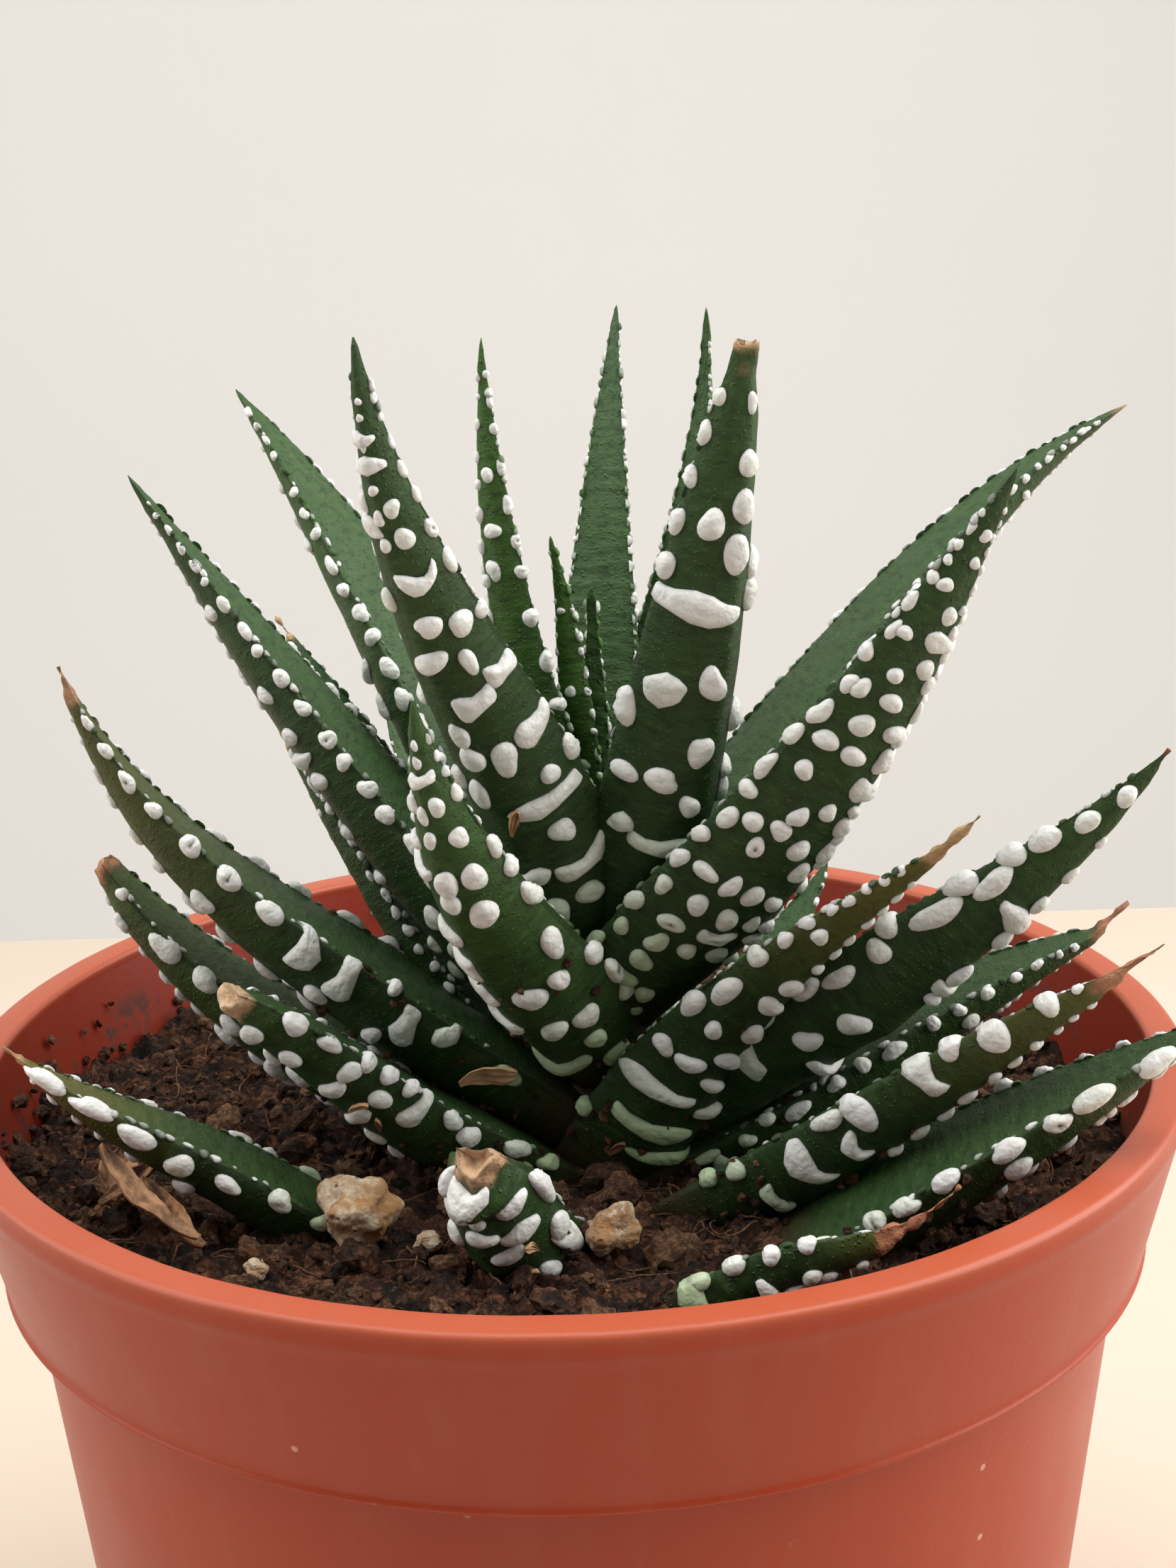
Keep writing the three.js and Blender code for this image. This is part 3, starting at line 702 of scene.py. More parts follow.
def leaf_relief(leaf, points, place, angle, inner, dry):
    """How far each point of a leaf stands out from its smooth surface, in millimetres."""
    seed = leaf.seed
    relief = 0.06 * fuzz(points, 0.0024, seed) + 0.03 * fuzz(points, 0.0008, seed)
    ripple = np.sin(place * leaf.length / (0.19 * MM) + 2.5 * fuzz(points, 0.004, seed))
    relief += leaf.look["wrinkles"] * inner * 0.06 * ripple
    relief += dry * (0.4 * fuzz(points, 0.0013, seed + 3) + 0.2 * fuzz(points, 0.0006, seed + 4))
    relief += 0.08 * np.exp(-((np.sin(angle) / 0.16) ** 2)) * fuzz(points, 0.0009, seed + 5)
    return relief


def broken_end(leaf, points):
    """The leaf's points with rings added that close its end as a rough break."""
    end = points[-LEAF_COLUMNS:]
    rings = [points]
    for share, lift in ((0.88, 0.3), (0.62, 0.0), (0.3, -0.5)):
        ring = end.mean(0) + (end - end.mean(0)) * share
        rough = lift + 0.45 * fuzz(ring, 0.0012, leaf.seed + 9)
        rings.append(ring + leaf.tangent[-1] * rough[:, None] * MM)
    return np.vstack(rings)


def leaf_body(leaf, piece):
    """The leaf itself, without its bumps."""
    look = leaf.look
    u, a = np.meshgrid(
        np.linspace(0, 1, LEAF_ROWS) ** 0.95,
        np.linspace(2 * math.pi, 0, LEAF_COLUMNS, endpoint=False),
        indexing="ij",
    )
    points = leaf.surface(u, a).reshape(-1, 3)
    normals = leaf.normals(u, a).reshape(-1, 3)
    u, a = u.ravel(), a.ravel()
    inner = smooth_step(-np.sin(a), 0.02, 0.25)
    has_dry_tip = look["dry"] < 1
    start = look["dry"] if has_dry_tip else 1.2
    dry = smooth_step(u + 0.03 * fuzz(points, 0.0012, leaf.seed), start - 0.01, start + 0.02)
    points = points + normals * leaf_relief(leaf, points, u, a, inner, dry)[:, None] * MM
    if look["cut"]:
        points = broken_end(leaf, points)
    ends = [points[:LEAF_COLUMNS].mean(0), points[-LEAF_COLUMNS:].mean(0)]
    extra = len(points) - len(u)
    u = np.concatenate([u, np.ones(extra), [0, 1]])
    inner = np.concatenate([inner, np.zeros(extra + 2)])
    dry = np.concatenate([dry, np.ones(extra), [0, float(has_dry_tip)]])
    foot = 0.85 * smooth_step(0.16 - u, 0.0, 0.12)
    piece.add(
        np.vstack([points, ends]),
        tube_faces(len(points) // LEAF_COLUMNS, LEAF_COLUMNS),
        # The inner face's share of lighter green, lowered on the low leaves as painted shade.
        inner=inner * look["fresh_green_and_inner_light"],
        dry=dry,
        young=np.clip(look["young"] + 0.22 * u ** 3, 0, 1),
        olive=look["olive"] * smooth_step(u, 0.45, 0.95),
        base=np.maximum(foot, look["burnt"] * dry),
        rust=look["rust"],
        pale=look["pale"],
        along=u * leaf.length,
        around=np.concatenate([leaf.arc(0.3) * a / math.pi, np.zeros(extra + 2)]),
    )


def dome_outline(random, long):
    """A lumpy closed outline of unit size: round, or squared off where the bump is a long bar."""
    turn = circle(DOME_SIDES)
    wobble = random.uniform(0.05, 0.17)
    lumpy = 1 + wobble * np.sin(2 * turn + random.uniform(0, TURN))
    lumpy += 0.6 * wobble * np.sin(3 * turn + random.uniform(0, TURN))
    power = 0.62 if long else 1.0
    across = np.sign(np.cos(turn)) * np.abs(np.cos(turn)) ** power
    along = np.sign(np.sin(turn)) * np.abs(np.sin(turn)) ** power
    return lumpy * across, lumpy * along


def add_dome(leaf, piece, place, spot, across, along, height, bend=0.0, pit=0.0, white=1.0):
    """One raised bump on a leaf. across and along are its half sizes and height its rise, in metres."""
    random = leaf.random
    long = across > 1.6 * along
    outline = dome_outline(random, long)
    radius = np.concatenate([[0], np.repeat(DOME_RINGS, DOME_SIDES)])
    p = np.concatenate([[0], np.outer(DOME_RINGS, outline[0]).ravel()])
    q = np.concatenate([[0], np.outer(DOME_RINGS, outline[1]).ravel()])
    if long:
        q = q * (1 + 0.27 * np.sin(3.6 * p + random.uniform(0, TURN)))
        q = q + 0.18 * np.sin(2.3 * p + random.uniform(0, TURN))
    u = np.clip(place + (q + bend * p * p) * along / leaf.length, 0.0, 0.996)
    a = np.interp(spot + 2 * p * across / leaf.arc(place), leaf.spots, leaf.angles)
    lumps = 1 + 0.15 * fuzz(np.stack([p * 1.3, q * 1.3, 0 * p + random.uniform(0, 50)], axis=1), 1.0)
    rise = height * lumps * np.sqrt(np.clip(1 - radius ** 2.6, 0, 1)) - 0.07 * MM
    rise = rise - 0.45 * height * pit * np.exp(-((radius / 0.2) ** 2))
    points = leaf.surface(u, a) + leaf.normals(u, a) * rise[:, None]
    ring = np.arange(DOME_SIDES)
    following = (ring + 1) % DOME_SIDES
    middle = np.stack([0 * ring, 1 + following, 1 + ring], axis=1)
    green = 0.8 * float(smooth_step(0.36 - place, 0.0, 0.24)) + random.uniform(-0.1, 0.12)
    piece.add(
        points,
        [*middle, *grid_faces(len(DOME_RINGS), DOME_SIDES, start=1)],
        bump=white * np.sqrt(np.clip(1 - radius ** 4, 0, 1)),
        tinge=np.clip(green, 0, 1),
        pit=pit * np.exp(-((radius / 0.16) ** 2)),
        young=leaf.look["young"],
    )


def edge_rows(leaf, piece):
    """The rows of longish bumps down both margins and along the keel."""
    random = leaf.random
    look = leaf.look
    stop = min(look["dry"], 0.97) - 0.02
    for spot, start, share in ((-0.95, 0.14, 1.0), (0.95, 0.14, 1.0), (0.0, 0.42, 0.9)):
        place = start + random.uniform(0, 0.03)
        while place < stop:
            width = leaf.at(leaf.half, place) * 2
            scale = look["size"] * share * np.clip(0.3 + width / (8.5 * MM), 0.4, 1.2)
            along = 0.72 * MM * scale * random.uniform(0.75, 1.4)
            across = 0.56 * MM * scale * random.uniform(0.85, 1.15)
            if random.random() < 0.93 and not is_taken(leaf, place, spot, along / 2):
                where = spot + random.uniform(-0.05, 0.05)
                pit = float(random.random() < look["pits"])
                add_dome(leaf, piece, place, where, across, along, 0.5 * MM * scale, pit=pit)
            gap = random.uniform(0.6, 1.25) * MM * look["gap"] * np.clip(scale, 0.5, 1)
            place += (2 * along + gap) / leaf.length


def standouts(leaf, piece):
    """The bars and large bumps that are listed one by one."""
    for place, spot, across, along, *bend in STANDOUTS.get(leaf.number, []):
        add_dome(leaf, piece, place, spot, across * MM, along * MM, 0.62 * MM, *bend)


def is_taken(leaf, place, spot, reach):
    """Whether a bump here would run into one of the leaf's larger bars."""
    for at, middle, across, along, *_ in STANDOUTS.get(leaf.number, []):
        apart = abs(place - at) * leaf.length < (along + 0.5) * MM + reach
        beside = abs(spot - middle) * leaf.arc(place) / 2 < (across + 0.4) * MM + reach
        if apart and beside:
            return True
    return False


def cross_rows(leaf, piece):
    """Rows of bumps across the outer face, some run together into bars."""
    random = leaf.random
    look = leaf.look
    stop = min(look["dry"], 0.94) - 0.03
    place = 0.1 + random.uniform(0, 0.04)
    while place < stop:
        arc = leaf.arc(place)
        dot = look["size"] * MM * np.clip(0.28 + 0.055 * arc / MM, 0.3, 0.95)
        gap = random.uniform(0.7, 1.4) * MM * look["gap"] * np.clip(dot / (0.8 * MM), 0.5, 1)
        pitch = (2 * dot + gap) / leaf.length
        at = -0.37 * arc + random.uniform(0, 1.2) * dot
        while at < 0.37 * arc:
            long = random.random() < look["bands"] and arc > 5 * dot
            across = dot * random.uniform(1.6, 3.2) if long else dot * random.uniform(0.7, 1.2)
            along = dot * random.uniform(0.7, 0.95) if long else dot * random.uniform(0.75, 1.2)
            spot = 2 * (at + across) / arc
            where = place + random.uniform(-0.3, 0.3) * pitch
            wanted = random.random() < 0.88 * look["fill"]
            if wanted and spot < 0.8 and not is_taken(leaf, where, spot, across):
                pit = float(random.random() < look["pits"])
                bend = random.uniform(-0.3, 0.9) if long else 0
                add_dome(leaf, piece, where, spot, across, along, 0.66 * dot, bend, pit)
            at += 2 * across + random.uniform(0.3, 1.2) * MM * look["gap"]
        place += pitch


def small_teeth(leaf, piece):
    """Fine greenish teeth along the margins, between the larger bumps, on the side facing the stem."""
    random = leaf.random
    for spot in (-1.06, 1.06):
        place = 0.2 + random.uniform(0, 0.02)
        stop = min(leaf.look["dry"], 0.98) - 0.02
        while place < stop:
            size = MM * random.uniform(0.16, 0.38)
            where = spot + random.uniform(-0.03, 0.03)
            white = random.uniform(0.05, 0.3)
            add_dome(leaf, piece, place, where, size, 1.3 * size, 0.9 * size, white=white)
            place += random.uniform(0.7, 1.6) * MM / leaf.length


def build_leaf(name, material):
    """One leaf with its bumps. A leaf that is dry from its foot on has none."""
    leaf = Leaf(name)
    piece = Piece()
    leaf_body(leaf, piece)
    if leaf.look["dry"] > 0.1:
        standouts(leaf, piece)
        edge_rows(leaf, piece)
        cross_rows(leaf, piece)
        small_teeth(leaf, piece)
    piece.build("visual_" + name, material, "leaf_flesh", [name])
    return leaf


# ---- pot


def wall_radius(tree, level, outside=False):
    """The radius of the pot's inner or outer wall at a height, read from its CAD solid."""
    start, heading = (0.1, -1) if outside else (0, 1)
    beside = 1e-5  # a ray just beside the axis meets no edge of the mesh
    return tree.ray_cast(Vector((start, beside, level)), Vector((heading, 0, 0)))[0].x


def pot_profile(tree, top):
    """The wall's outline up the outside, over the lip and down to the floor, with its edges broken."""
    parts = ((1.2, 55, 24), (55.4, 57.2, 16), (58, 67, 8), (67.2, 69.3, 8))
    levels = np.concatenate([np.linspace(*part) for part in parts]) * MM
    outer = np.array([wall_radius(tree, z, True) for z in levels])
    inner = np.array([wall_radius(tree, z) for z in levels])
    foot, edge, mouth = outer[0], outer[-1], inner[-1]
    turn = np.linspace(0, math.pi / 2, 6)
    near, far = 1 - np.cos(turn), 1 - np.sin(turn)
    round_out = np.stack([edge - near * 0.5 * MM, top - far * 0.5 * MM], axis=1)
    round_in = np.stack([mouth + far * 0.4 * MM, top - near * 0.4 * MM], axis=1)
    outer = outer + 0.28 * MM * np.exp(-(((levels - LEDGE) / (0.24 * MM)) ** 2))
    inside = [(r, z) for r, z in zip(inner, levels) if z > 3.5 * MM][::-1]
    corner = [(inside[-1][0] - 0.1 * MM, FLOOR + 0.5 * MM), (inside[-1][0] - 0.7 * MM, FLOOR)]
    base = [(foot - 1.1 * MM, 0.0), (foot - 0.6 * MM, 0.1 * MM), (foot - 0.15 * MM, 0.6 * MM)]
    outside = [*base, *zip(outer, levels), *round_out]
    return np.array(outside + [*round_in, *inside, *corner]), len(outside)


def build_pot(material):
    """The pot, a little out of round at the top, with its drain holes."""
    top = box("pot")[1][2]
    wall, outside = pot_profile(node_tree("pot"), top)
    angle = circle(POT_SIDES)
    radius, height = (np.repeat(wall[:, k][:, None], POT_SIDES, axis=1) for k in range(2))
    ring = np.stack([np.cos(angle), np.sin(angle), 0 * angle + 3], axis=1)
    wave = 0.1 * MM * np.sin(2 * angle + 0.6) * smooth_step(height, 50 * MM, top)
    dips = 0.05 * MM * (1 + fuzz(ring, 0.11)) * smooth_step(height, top - 0.6 * MM, top - 0.1 * MM)
    x = (radius + wave) * np.cos(angle)
    y = (radius + wave) * np.sin(angle)
    points = np.stack([x, y, height - dips], axis=2).reshape(-1, 3)
    points = np.vstack([points, [(0, 0, 0), (0, 0, wall[-1][1])]])
    inside = (np.arange(len(points)) >= outside * POT_SIDES).astype(float)
    inside[-2] = 0.0
    # The top of the rim, which the material lightens as a painted highlight.
    lip = smooth_step(points[:, 2], top - 0.9 * MM, top - 0.3 * MM)
    grime = inside * smooth_step(points[:, 2], top - 12 * MM, top - 6 * MM)
    grime = grime * (1 - smooth_step(points[:, 2], top - 5 * MM, top - 3 * MM))
    piece = Piece()
    faces = tube_faces(len(wall), POT_SIDES)
    # inside carries the painted shade of the inner wall.
    piece.add(points, faces, lip=lip, inside=inside * (1 - lip), grime=grime)
    pot = piece.build("visual_pot", material, "pot_plastic", ["pot"])
    drill_holes(pot)


def drill_holes(pot):
    """The drain holes through the floor, where the CAD pot has them."""
    corners = node_triangles("pot").reshape(-1, 3)
    reach = np.hypot(corners[:, 0], corners[:, 1])
    low = corners[(corners[:, 2] < 0.1 * MM) & (reach > HOLE_RING[0]) & (reach < HOLE_RING[1])]
    turn = np.degrees(np.arctan2(low[:, 1], low[:, 0])) % 360
    groups = np.round(turn / (360 / HOLES)) % HOLES
    for group in range(HOLES):
        rim = np.unique(low[groups == group].round(6), axis=0)
        centre = (rim.max(0) + rim.min(0)) / 2
        radius = (rim[:, 1].max() - rim[:, 1].min()) / 2
        bpy.ops.mesh.primitive_cylinder_add(vertices=40, radius=radius, depth=0.02, location=centre)
        cutter = bpy.context.object
        cut = pot.modifiers.new("hole", "BOOLEAN")
        cut.operation = "DIFFERENCE"
        cut.object = cutter
        bpy.context.view_layer.objects.active = pot
        bpy.ops.object.modifier_apply(modifier=cut.name)
        bpy.data.objects.remove(cutter)


# ---- soil and what lies on it


def soil_height(x, y, base):
    """The height of the uneven soil, with lumps and crumbs, at many places."""
    flat = np.stack([x, y, 0 * x], axis=1)
    broad = 0.9 * fuzz(flat, 0.011, 4.0)
    lumps = 1.7 * np.abs(fuzz(flat, 0.0034, 9.0)) + 0.8 * fuzz(flat, 0.0019, 2.0)
    crumbs = 1.0 * np.abs(fuzz(flat, 0.0012, 6.0)) + 0.4 * fuzz(flat, 0.0006, 1.0)
    return base + (broad + lumps + crumbs - 1.0) * MM


def build_soil(material):
    """The soil's uneven top, on a round grid, and its sides and bottom within the pot."""
    tree = node_tree("pot")
    low, high = box("soil")
    level = high[2] - 1.0 * MM
    rim = wall_radius(tree, level) - 0.05 * MM
    steps = np.linspace(-1, 1, SOIL_CELLS)
    u, v = np.meshgrid(steps, steps, indexing="ij")
    x = (rim * u * np.sqrt(1 - v * v / 2)).ravel()
    y = (rim * v * np.sqrt(1 - u * u / 2)).ravel()
    top = np.stack([x, y, soil_height(x, y, level)], axis=1)
    border = grid_border(SOIL_CELLS, SOIL_CELLS)
    count = len(border)
    direction = unit(top[border, :2])
    rings = []
    for depth in (level - 3 * MM, level - 8 * MM, 30 * MM, low[2]):
        radius = wall_radius(tree, max(depth, 3 * MM)) - 0.3 * MM
        rings.append(np.column_stack([direction * radius, np.full(count, depth)]))
    points = np.vstack([top, *rings, [(0, 0, low[2])]])
    loops = [border] + [len(top) + k * count + np.arange(count) for k in range(len(rings))]
    faces = [f[::-1] for f in grid_faces(SOIL_CELLS, SOIL_CELLS, closed=False)]
    for upper, lower in zip(loops, loops[1:]):
        faces += [*band_faces(upper, lower)]
    middle = np.full(count, len(points) - 1)
    faces += [*np.stack([loops[-1], middle, np.roll(loops[-1], -1)], axis=1)]
    piece = Piece()
    piece.add(points, faces, light=0.0)
    piece.build("visual_soil", material, "peat_soil", ["soil"])
    return level, rim


def rough_ball(detail, coarse, fine, seed):
    """A lumpy ball of about unit size: its points and faces."""
    bpy.ops.mesh.primitive_ico_sphere_add(subdivisions=detail, radius=1)
    ball = bpy.context.object
    points = np.array([v.co for v in ball.data.vertices])
    faces = [tuple(p.vertices) for p in ball.data.polygons]
    bpy.data.objects.remove(ball)
    rough = 1 + coarse * fuzz(points, 0.8, seed) + fine * fuzz(points, 0.3, seed * 1.7)
    return points * rough[:, None], faces


def scatter_crumbs(piece, random, shapes, places, sizes, tones):
    """One turned and stretched crumb at each place."""
    for place, size, tone in zip(places, sizes, tones):
        points, faces = shapes[random.integers(len(shapes))]
        turn = np.array(Matrix.Rotation(random.uniform(0, TURN), 3, Vector(random.normal(size=3))))
        scale = size * random.uniform(0.45, 1.4, 3)
        piece.add((points * scale) @ turn.T + place, faces, light=tone)


def crumb_tones(random, count):
    """Mostly dark crumbs, some brown and a few pale."""
    tones = random.uniform(0, 0.25, count)
    brown = random.random(count) < 0.35
    tones[brown] = random.uniform(0.25, 0.6, brown.sum())
    pale = random.random(count) < 0.05
    tones[pale] = random.uniform(0.7, 1.0, pale.sum())
    return tones


def crumb_shapes(detail, count):
    """A few rough balls, which every crumb is one of."""
    return [rough_ball(detail, 0.55, 0.3, seed * 5.0 + 1) for seed in range(count)]


def crumbs_on_soil(piece, random, shapes, count, sizes, level, rim):
    """Crumbs lying all over the soil. sizes gives the smallest and largest, in millimetres."""
    radius = rim * np.sqrt(random.random(count)) * 0.985
    angle = random.uniform(0, 2 * math.pi, count)
    x, y = radius * np.cos(angle), radius * np.sin(angle)
    sizes = MM * random.uniform(*sizes, count) * random.uniform(0.6, 1, count)
    places = np.stack([x, y, soil_height(x, y, level) + 0.25 * sizes], axis=1)
    scatter_crumbs(piece, random, shapes, places, sizes, crumb_tones(random, count))


def crumbs_on_wall(piece, random, shapes, level, rim):
    """Crumbs that cling to the inside of the wall behind the plant."""
    angle = random.uniform(0.55, 1.4, WALL_CRUMBS) * math.pi
    z = level + random.uniform(0.0, 1.0, WALL_CRUMBS) ** 3 * 5 * MM
    radius = rim - 0.1 * MM + 0.1 * (z - level)
    places = np.stack([radius * np.cos(angle), radius * np.sin(angle), z], axis=1)
    sizes = MM * random.uniform(0.2, 0.7, WALL_CRUMBS)
    scatter_crumbs(piece, random, shapes, places, sizes, crumb_tones(random, WALL_CRUMBS))


def build_crumbs(material, level, rim):
    """Loose lumps and crumbs all over the soil."""
    random = np.random.default_rng(5)
    lumps, crumbs = Piece(), Piece()
    crumbs_on_soil(lumps, random, crumb_shapes(3, 7), 760, (0.4, 1.45), level, rim)
    lumps.build("soil_lumps", material, "peat_soil", smooth=False)
    shapes = crumb_shapes(2, 7)
    crumbs_on_soil(crumbs, random, shapes, 2300, (0.16, 0.6), level, rim)
    crumbs_on_wall(crumbs, random, shapes, level, rim)
    crumbs.build("soil_crumbs", material, "peat_soil", smooth=False)


def strand(points, radius, sides=5):
    """A thin closed tube through the points, narrowing at both ends."""
    points = np.asarray(points, float)
    tangents = unit(np.gradient(points, axis=0))
    side = unit(np.cross(tangents, (0.13, 0.21, 0.97)))
    up = np.cross(tangents, side)
    turn = circle(sides)[:, None]
    girth = radius * (0.35 + 0.65 * np.sin(np.linspace(0.15, math.pi - 0.15, len(points))))
    around = np.cos(turn) * side[:, None] + np.sin(turn) * up[:, None]
    rings = points[:, None] + girth[:, None, None] * around
    faces = [*grid_faces(len(points), sides)]
    faces.append(np.arange(sides)[::-1])
    faces.append((len(points) - 1) * sides + np.arange(sides))
    return rings.reshape(-1, 3), faces


def build_fibres(material, level, rim):
    """Fine bent fibres lying on the soil."""
    random = np.random.default_rng(11)
    piece = Piece()
    for _ in range(FIBRES):
        radius = rim * math.sqrt(random.random()) * 0.9
        angle = random.uniform(0, 2 * math.pi)
        heading = random.uniform(0, 2 * math.pi)
        length = random.uniform(2.5, 8) * MM
        bend = random.normal() * 1.2
        t = np.linspace(0, 1, 14)
        course = heading + bend * (t - 0.5) + 0.5 * np.sin(5 * t + random.uniform(0, 6))
        x = radius * math.cos(angle) + np.cumsum(np.cos(course)) * length / 14
        y = radius * math.sin(angle) + np.cumsum(np.sin(course)) * length / 14
        if np.hypot(x, y).max() > rim * 0.98:
            continue
        z = np.pad(soil_height(x, y, level), 2, mode="edge")
        z = np.convolve(z, np.ones(5) / 5, mode="valid") + random.uniform(0.1, 0.5) * MM
        points, faces = strand(np.stack([x, y, z], axis=1), MM * random.uniform(0.05, 0.11))
        piece.add(points, faces, light=random.uniform(0.3, 1.0))
    piece.build("soil_fibres", material, "peat_soil")


def cell_distance(points, size, seed):
    """How far each point is from the nearest of many scattered points."""
    shift = Vector((seed, 0, 0))
    return np.array([noise.voronoi(Vector(p) / size + shift)[0][0] for p in points])


def build_stone(name, material):
    """A faceted and pitted stone that fills its CAD solid's box."""
    low, high = box(name)
    seed = int(name[-1]) * 11.0
    points, faces = rough_ball(6, 0.5, 0.0, seed)
    rough = 1 + 0.35 * cell_distance(points, 1.1, seed)
    rough = rough + 0.07 * fuzz(points, 0.3, seed) + 0.03 * fuzz(points, 0.1, seed)
    pits = 1 - smooth_step(cell_distance(points, 0.5, seed), 0.05, 0.3)
    points = points * (rough - 0.09 * pits)[:, None]
    points = (points - points.min(0)) / (points.max(0) - points.min(0))
    piece = Piece()
    piece.add(low + points * (high - low), faces)
    piece.build("visual_" + name, material, "grit_stone", [name])


def dried_blade(centre, heading, rise, length, width, curl, seed, light):
    """A dried, curled and ribbed strip of old leaf with some thickness, pointed at one end."""
    rows, columns = 48, 17
    t, s = np.meshgrid(np.linspace(-1, 1, rows), np.linspace(-1, 1, columns), indexing="ij")
    taper = np.clip(1 - ((t + 0.15) / 1.15) ** 2, 0.02, 1) ** 0.75
    around = curl * s * taper * (0.7 + 0.4 * t)
    radius = width / (2 * curl)
    across = radius * np.sin(around)
    lift = radius * (1 - np.cos(around)) + 0.12 * length * t * t
    along = t * length / 2
    ribs = 0.09 * MM * np.sin(9 * s + 2 * t)
    flat = np.stack([along, across, lift], axis=2).reshape(-1, 3)
    crumple = 0.35 * MM * fuzz(flat, 0.0022, seed) + 0.16 * MM * fuzz(flat, 0.0008, seed)
    flat[:, 2] += crumple + ribs.ravel()
    flat[:, 1] += 0.3 * MM * fuzz(flat, 0.003, seed + 7)
    turn = Matrix.Rotation(math.radians(heading), 3, "Z") @ Matrix.Rotation(-math.radians(rise), 3, "Y")
    sheet = flat @ np.array(turn).T + centre
    thick = np.array(turn) @ np.array([0, 0, 0.16 * MM])
    count = len(sheet)
    border = grid_border(rows, columns)
    faces = [f[::-1] for f in grid_faces(rows, columns, closed=False, start=count)]
    faces += [*grid_faces(rows, columns, closed=False)]
    faces += [*band_faces(border, border + count)[:, ::-1]]
    tone = np.clip(light + 0.4 * fuzz(np.vstack([flat, flat]), 0.003, seed + 2), 0, 1)
    return np.vstack([sheet, sheet + thick]), faces, tone


# Scraps on the leaves: the leaf's number, the places along and across it, size in mm,
# turn in degrees and lightness.
FLAKES = [
    (4, 0.18, -0.85, 4.2, 15, 1.0),
    (1, 0.4, -0.12, 2.0, 80, 1.0),
    (6, 0.63, -0.5, 1.6, 30, 0.9),
    (6, 0.56, -0.45, 1.3, 100, 0.4),
    (6, 0.3, -0.3, 1.5, 140, 0.2),
    (9, 0.16, 0.5, 1.4, 20, 0.2),
    (10, 0.5, -0.3, 2.0, 60, 0.5),
    (10, 0.62, -0.45, 1.4, 150, 0.8),
    (14, 0.35, -0.45, 3.2, 20, 0.35),
    (14, 0.27, -0.5, 2.2, 70, 0.15),
    (16, 0.6, -0.4, 1.6, 10, 0.7),
    (11, 0.14, 0.6, 1.7, 40, 0.2),
]


def build_flakes(leaves, material):
    """Curled scraps of dead skin and husk that lie on the leaves."""
    piece = Piece()
    for index, (number, place, spot, size, turn, light) in enumerate(FLAKES):
        leaf = leaves[number]
        angle = np.interp([spot], leaf.spots, leaf.angles)
        place = np.array([place])
        normal = leaf.normals(place, angle)[0]
        centre = leaf.surface(place, angle)[0] + normal * 0.45 * MM
        length = size * MM
        seed = index * 3.0
        points, faces, tone = dried_blade((0, 0, 0), turn, 0, length, 0.6 * length, 1.0, seed, light)
        facing = np.array(Vector(normal).to_track_quat("Z", "Y").to_matrix())
        piece.add(points @ facing.T + centre, faces, light=tone)
    piece.build("leaf_flakes", material, "dry_leaf")


def build_leaf_soil(leaves, material):
    """Crumbs of soil caught on the feet of the low leaves."""
    random = np.random.default_rng(23)
    shapes = crumb_shapes(2, 5)
    piece = Piece()
    count = LEAF_CRUMBS
    for number in LOW_LEAVES:
        leaf = leaves[number]
        place = 0.1 + 0.4 * random.random(count) ** 1.6
        angle = np.interp(random.uniform(-1.15, 1.15, count), leaf.spots, leaf.angles)
        places = leaf.surface(place, angle) + leaf.normals(place, angle) * 0.08 * MM
        sizes = MM * random.uniform(0.12, 0.42, count)
        scatter_crumbs(piece, random, shapes, places, sizes, crumb_tones(random, count))
    piece.build("leaf_soil", material, "peat_soil", smooth=False)


def build_litter(name, material, strips):
    """Dried strips in a CAD scrap's box.

    Each strip is its shift in mm, turn and rise in degrees, length and width as shares of the box's
    diagonal, curl and lightness.
    """
    low, high = box(name)
    size = np.linalg.norm(high - low)
    piece = Piece()
    for index, (shift, heading, rise, long, wide, curl, light) in enumerate(strips):
        place = (low + high) / 2 + np.array(shift) * MM
        seed = index * 4.0 + len(name)
        points, faces, tone = dried_blade(
            place, heading, rise, long * size, wide * size, curl, seed, light
        )
        piece.add(points, faces, light=tone)
    piece.build("visual_" + name, material, "dry_leaf", [name])


def build_stem(material):
    """The short axis that the leaves grow from, ridged with the scars of old leaves."""
    low, high = box("stem")
    centre = (low + high) / 2
    rows, columns = 90, 40
    t, a = np.meshgrid(np.linspace(0, 1, rows), circle(columns), indexing="ij")
    foot = (high[0] - low[0]) / 2
    radius = foot * (1 - 0.42 * t)
    height = low[2] + t * (high[2] - low[2])
    x, y = radius * np.cos(a), radius * np.sin(a)
    points = np.stack([x, y, height], axis=2).reshape(-1, 3)
    scars = 0.12 * MM * np.sin(t.ravel() * 62 + 2 * a.ravel()) + 0.2 * MM * fuzz(points, 0.0018)
    outward = unit(points * (1, 1, 0))
    points = points + outward * (scars - 0.15 * MM)[:, None] + (centre[0], centre[1], 0)
    ends = [(centre[0], centre[1], z) for z in (low[2], high[2])]
    points = np.vstack([points, ends])
    piece = Piece()
    piece.add(points, tube_faces(rows, columns))
    piece.build("visual_stem", material, "stem_flesh", ["stem"])


# ---- stage, light and camera


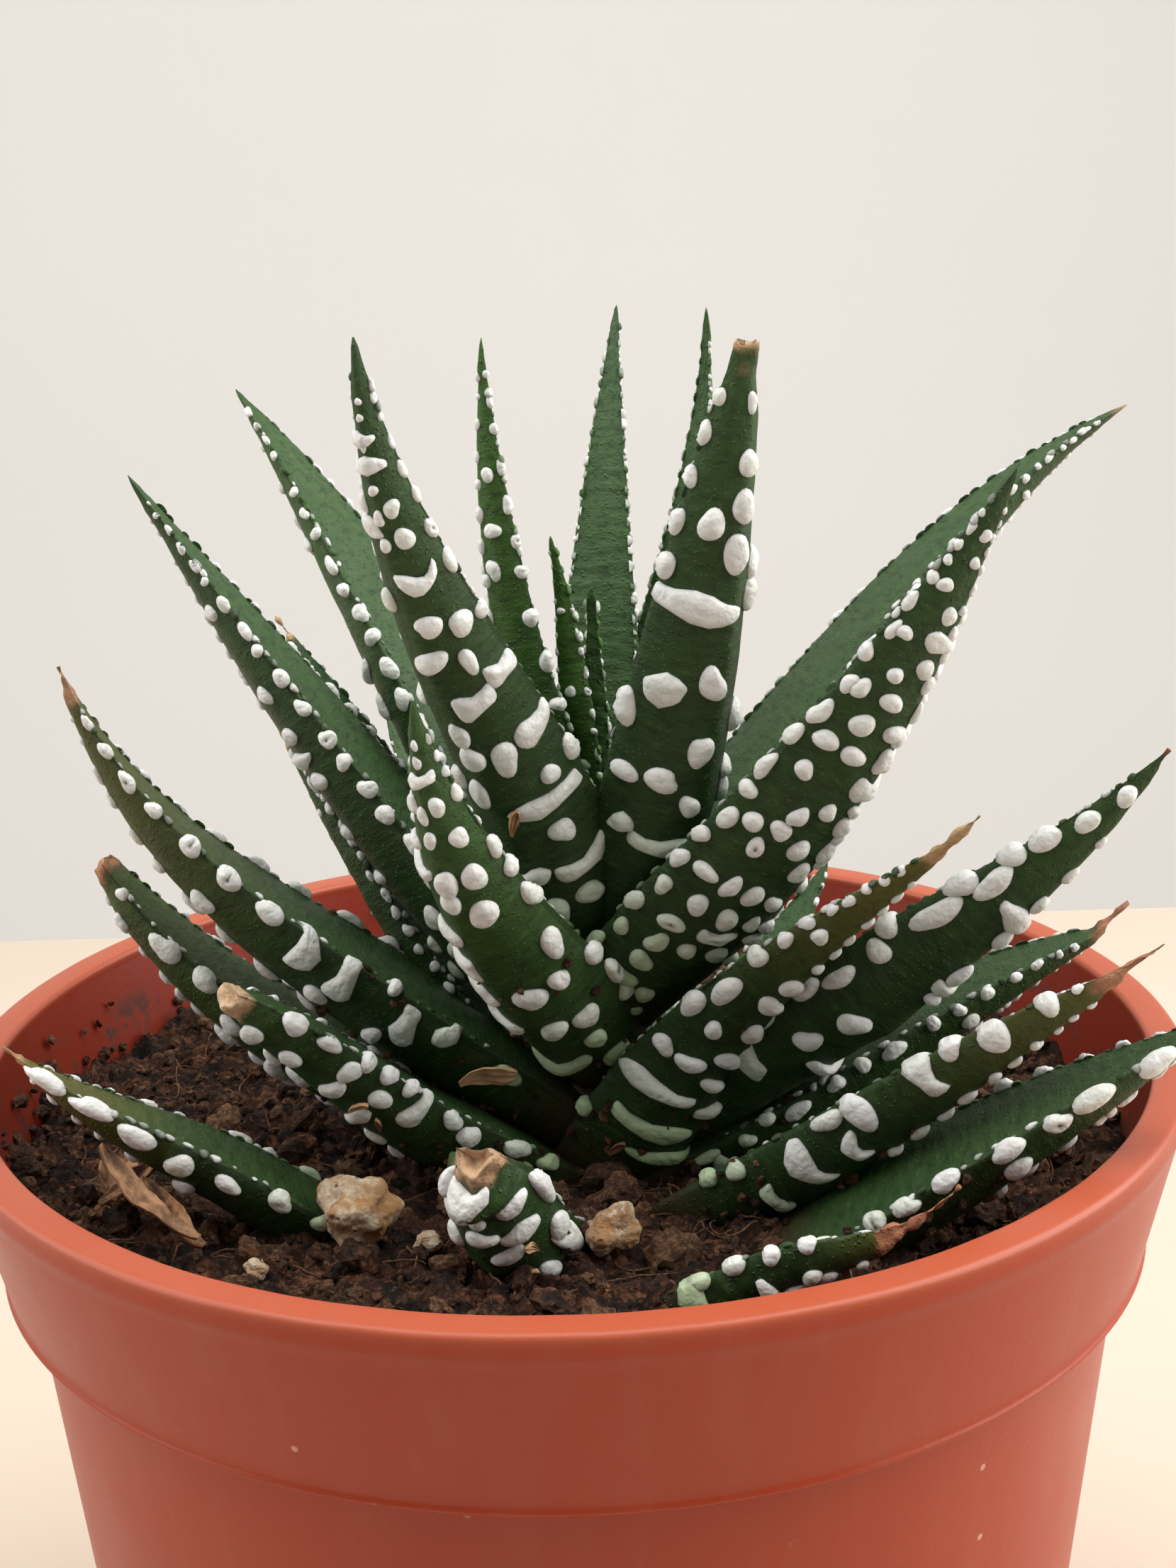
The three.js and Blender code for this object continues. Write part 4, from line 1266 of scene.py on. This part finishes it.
def stage_material():
    """Pale wood on the table, and off-white paint with a little light of its own on the wall."""
    s = Shader("stage")
    place = s.nodes.new("ShaderNodeSeparateXYZ")
    s.links.new(s.place, place.inputs[0])
    wall = s.ramp(place.outputs["Y"], WALL - 0.1, WALL - 0.05)
    wood = s.mix(s.noise(0.05, 3, (0.25, 1.0, 1.0)), (0.54, 0.45, 0.365), (0.58, 0.5, 0.42))
    paint = s.mix(s.noise(0.3, 2), (0.6, 0.59, 0.565), (0.63, 0.62, 0.595))
    s.set("Emission Color", paint)
    s.set("Emission Strength", s.times(wall, WALL_GLOW))
    return s.finish(s.mix(wall, wood, paint), s.ramp(s.noise(0.03), 0.3, 0.7, 0.65, 0.8))


def build_stage():
    """A pale table that ends a little way behind the pot, and a plain off-white wall beyond."""
    profile = [(-1.2, 0.0), (TABLE_EDGE, 0.0), (TABLE_EDGE, -0.7), (WALL, -0.7), (WALL, 1.1)]
    points = [(x, y, z) for y, z in profile for x in (-1.5, 0.0, 1.5)]
    mesh = bpy.data.meshes.new("stage")
    mesh.from_pydata(points, [], grid_faces(len(profile), 3, closed=False).tolist())
    mesh.materials.append(stage_material())
    table = bpy.data.objects.new("stage", mesh)
    put(table)


def add_light(name, place, size, power, colour):
    """A rectangular lamp that faces the plant."""
    aim = (0, 0, 0.07)
    data = bpy.data.lights.new(name, "AREA")
    data.shape = "RECTANGLE"
    data.size, data.size_y = size
    data.energy = power
    data.color = colour
    light = bpy.data.objects.new(name, data)
    light.location = place
    light.rotation_euler = (Vector(aim) - Vector(place)).to_track_quat("-Z", "Y").to_euler()
    put(light)


def build_lights():
    """Broad soft lamps on both sides and above, and an even light from all round."""
    add_light("right", (0.42, 0.0, 0.32), (0.5, 0.6), 4.4, (1.0, 0.97, 0.93))
    add_light("left", (-0.42, 0.0, 0.34), (0.5, 0.6), 2.4, (1.0, 0.98, 0.95))
    add_light("above", (0.0, -0.05, 0.62), (0.6, 0.4), 3.0, (1.0, 0.98, 0.95))
    world = bpy.data.worlds.new("room")
    world.use_nodes = True
    background = world.node_tree.nodes["Background"]
    background.inputs["Color"].default_value = (1.0, 0.97, 0.93, 1)
    background.inputs["Strength"].default_value = 0.26
    bpy.context.scene.world = world


def build_camera():
    """The camera stands in front of the pot and above its rim, and looks down, a little rolled."""
    pitch, roll = math.radians(16.08), math.radians(-1.67)
    forward = np.array([0, math.cos(pitch), -math.sin(pitch)])
    level = np.array([1.0, 0, 0])
    up = np.cross(level, forward)
    right = level * math.cos(roll) + up * math.sin(roll)
    above = up * math.cos(roll) - level * math.sin(roll)
    pose = Matrix(np.column_stack([right, above, -forward]).tolist()).to_4x4()
    above_rim = box("pot")[1][2] + 66.6 * MM
    pose.translation = (1.9 * MM, -164 * MM, above_rim)
    data = bpy.data.cameras.new("camera")
    data.sensor_width = 36
    data.lens = 54.1
    data.clip_start = 0.01
    camera = bpy.data.objects.new("camera", data)
    camera.matrix_world = pose
    put(camera)
    bpy.context.scene.camera = camera


# ---- build everything

build_pot(pot_material())
SOIL = soil_material()
LEVEL, RIM = build_soil(SOIL)
build_crumbs(SOIL, LEVEL, RIM)
build_fibres(SOIL, LEVEL, RIM)
build_stem(stem_material())
LEAF = leaf_material()
LEAVES = {}
for node in sorted(NODES):
    if node.startswith("leaf_"):
        leaf = build_leaf(node, LEAF)
        LEAVES[leaf.number] = leaf
STONE = stone_material()
for node in sorted(NODES):
    if node.startswith("grit_"):
        build_stone(node, STONE)
LITTER = litter_material()
build_flakes(LEAVES, LITTER)
build_leaf_soil(LEAVES, SOIL)
build_litter(
    "litter_1",
    LITTER,
    [((0, 0, 0), 162, 42, 0.85, 0.28, 1.1, 0.2), ((1.6, 0.6, -1.6), 150, 36, 0.6, 0.3, 1.4, 0.0)],
)
build_litter(
    "litter_2",
    LITTER,
    [((0, 0, 0), 100, 6, 0.8, 0.5, 1.3, 0.0), ((1.2, -1.5, 0.6), 40, 20, 0.6, 0.35, 1.5, 0.1)],
)
build_stage()
build_lights()
build_camera()
bpy.context.scene.view_settings.view_transform = "Standard"
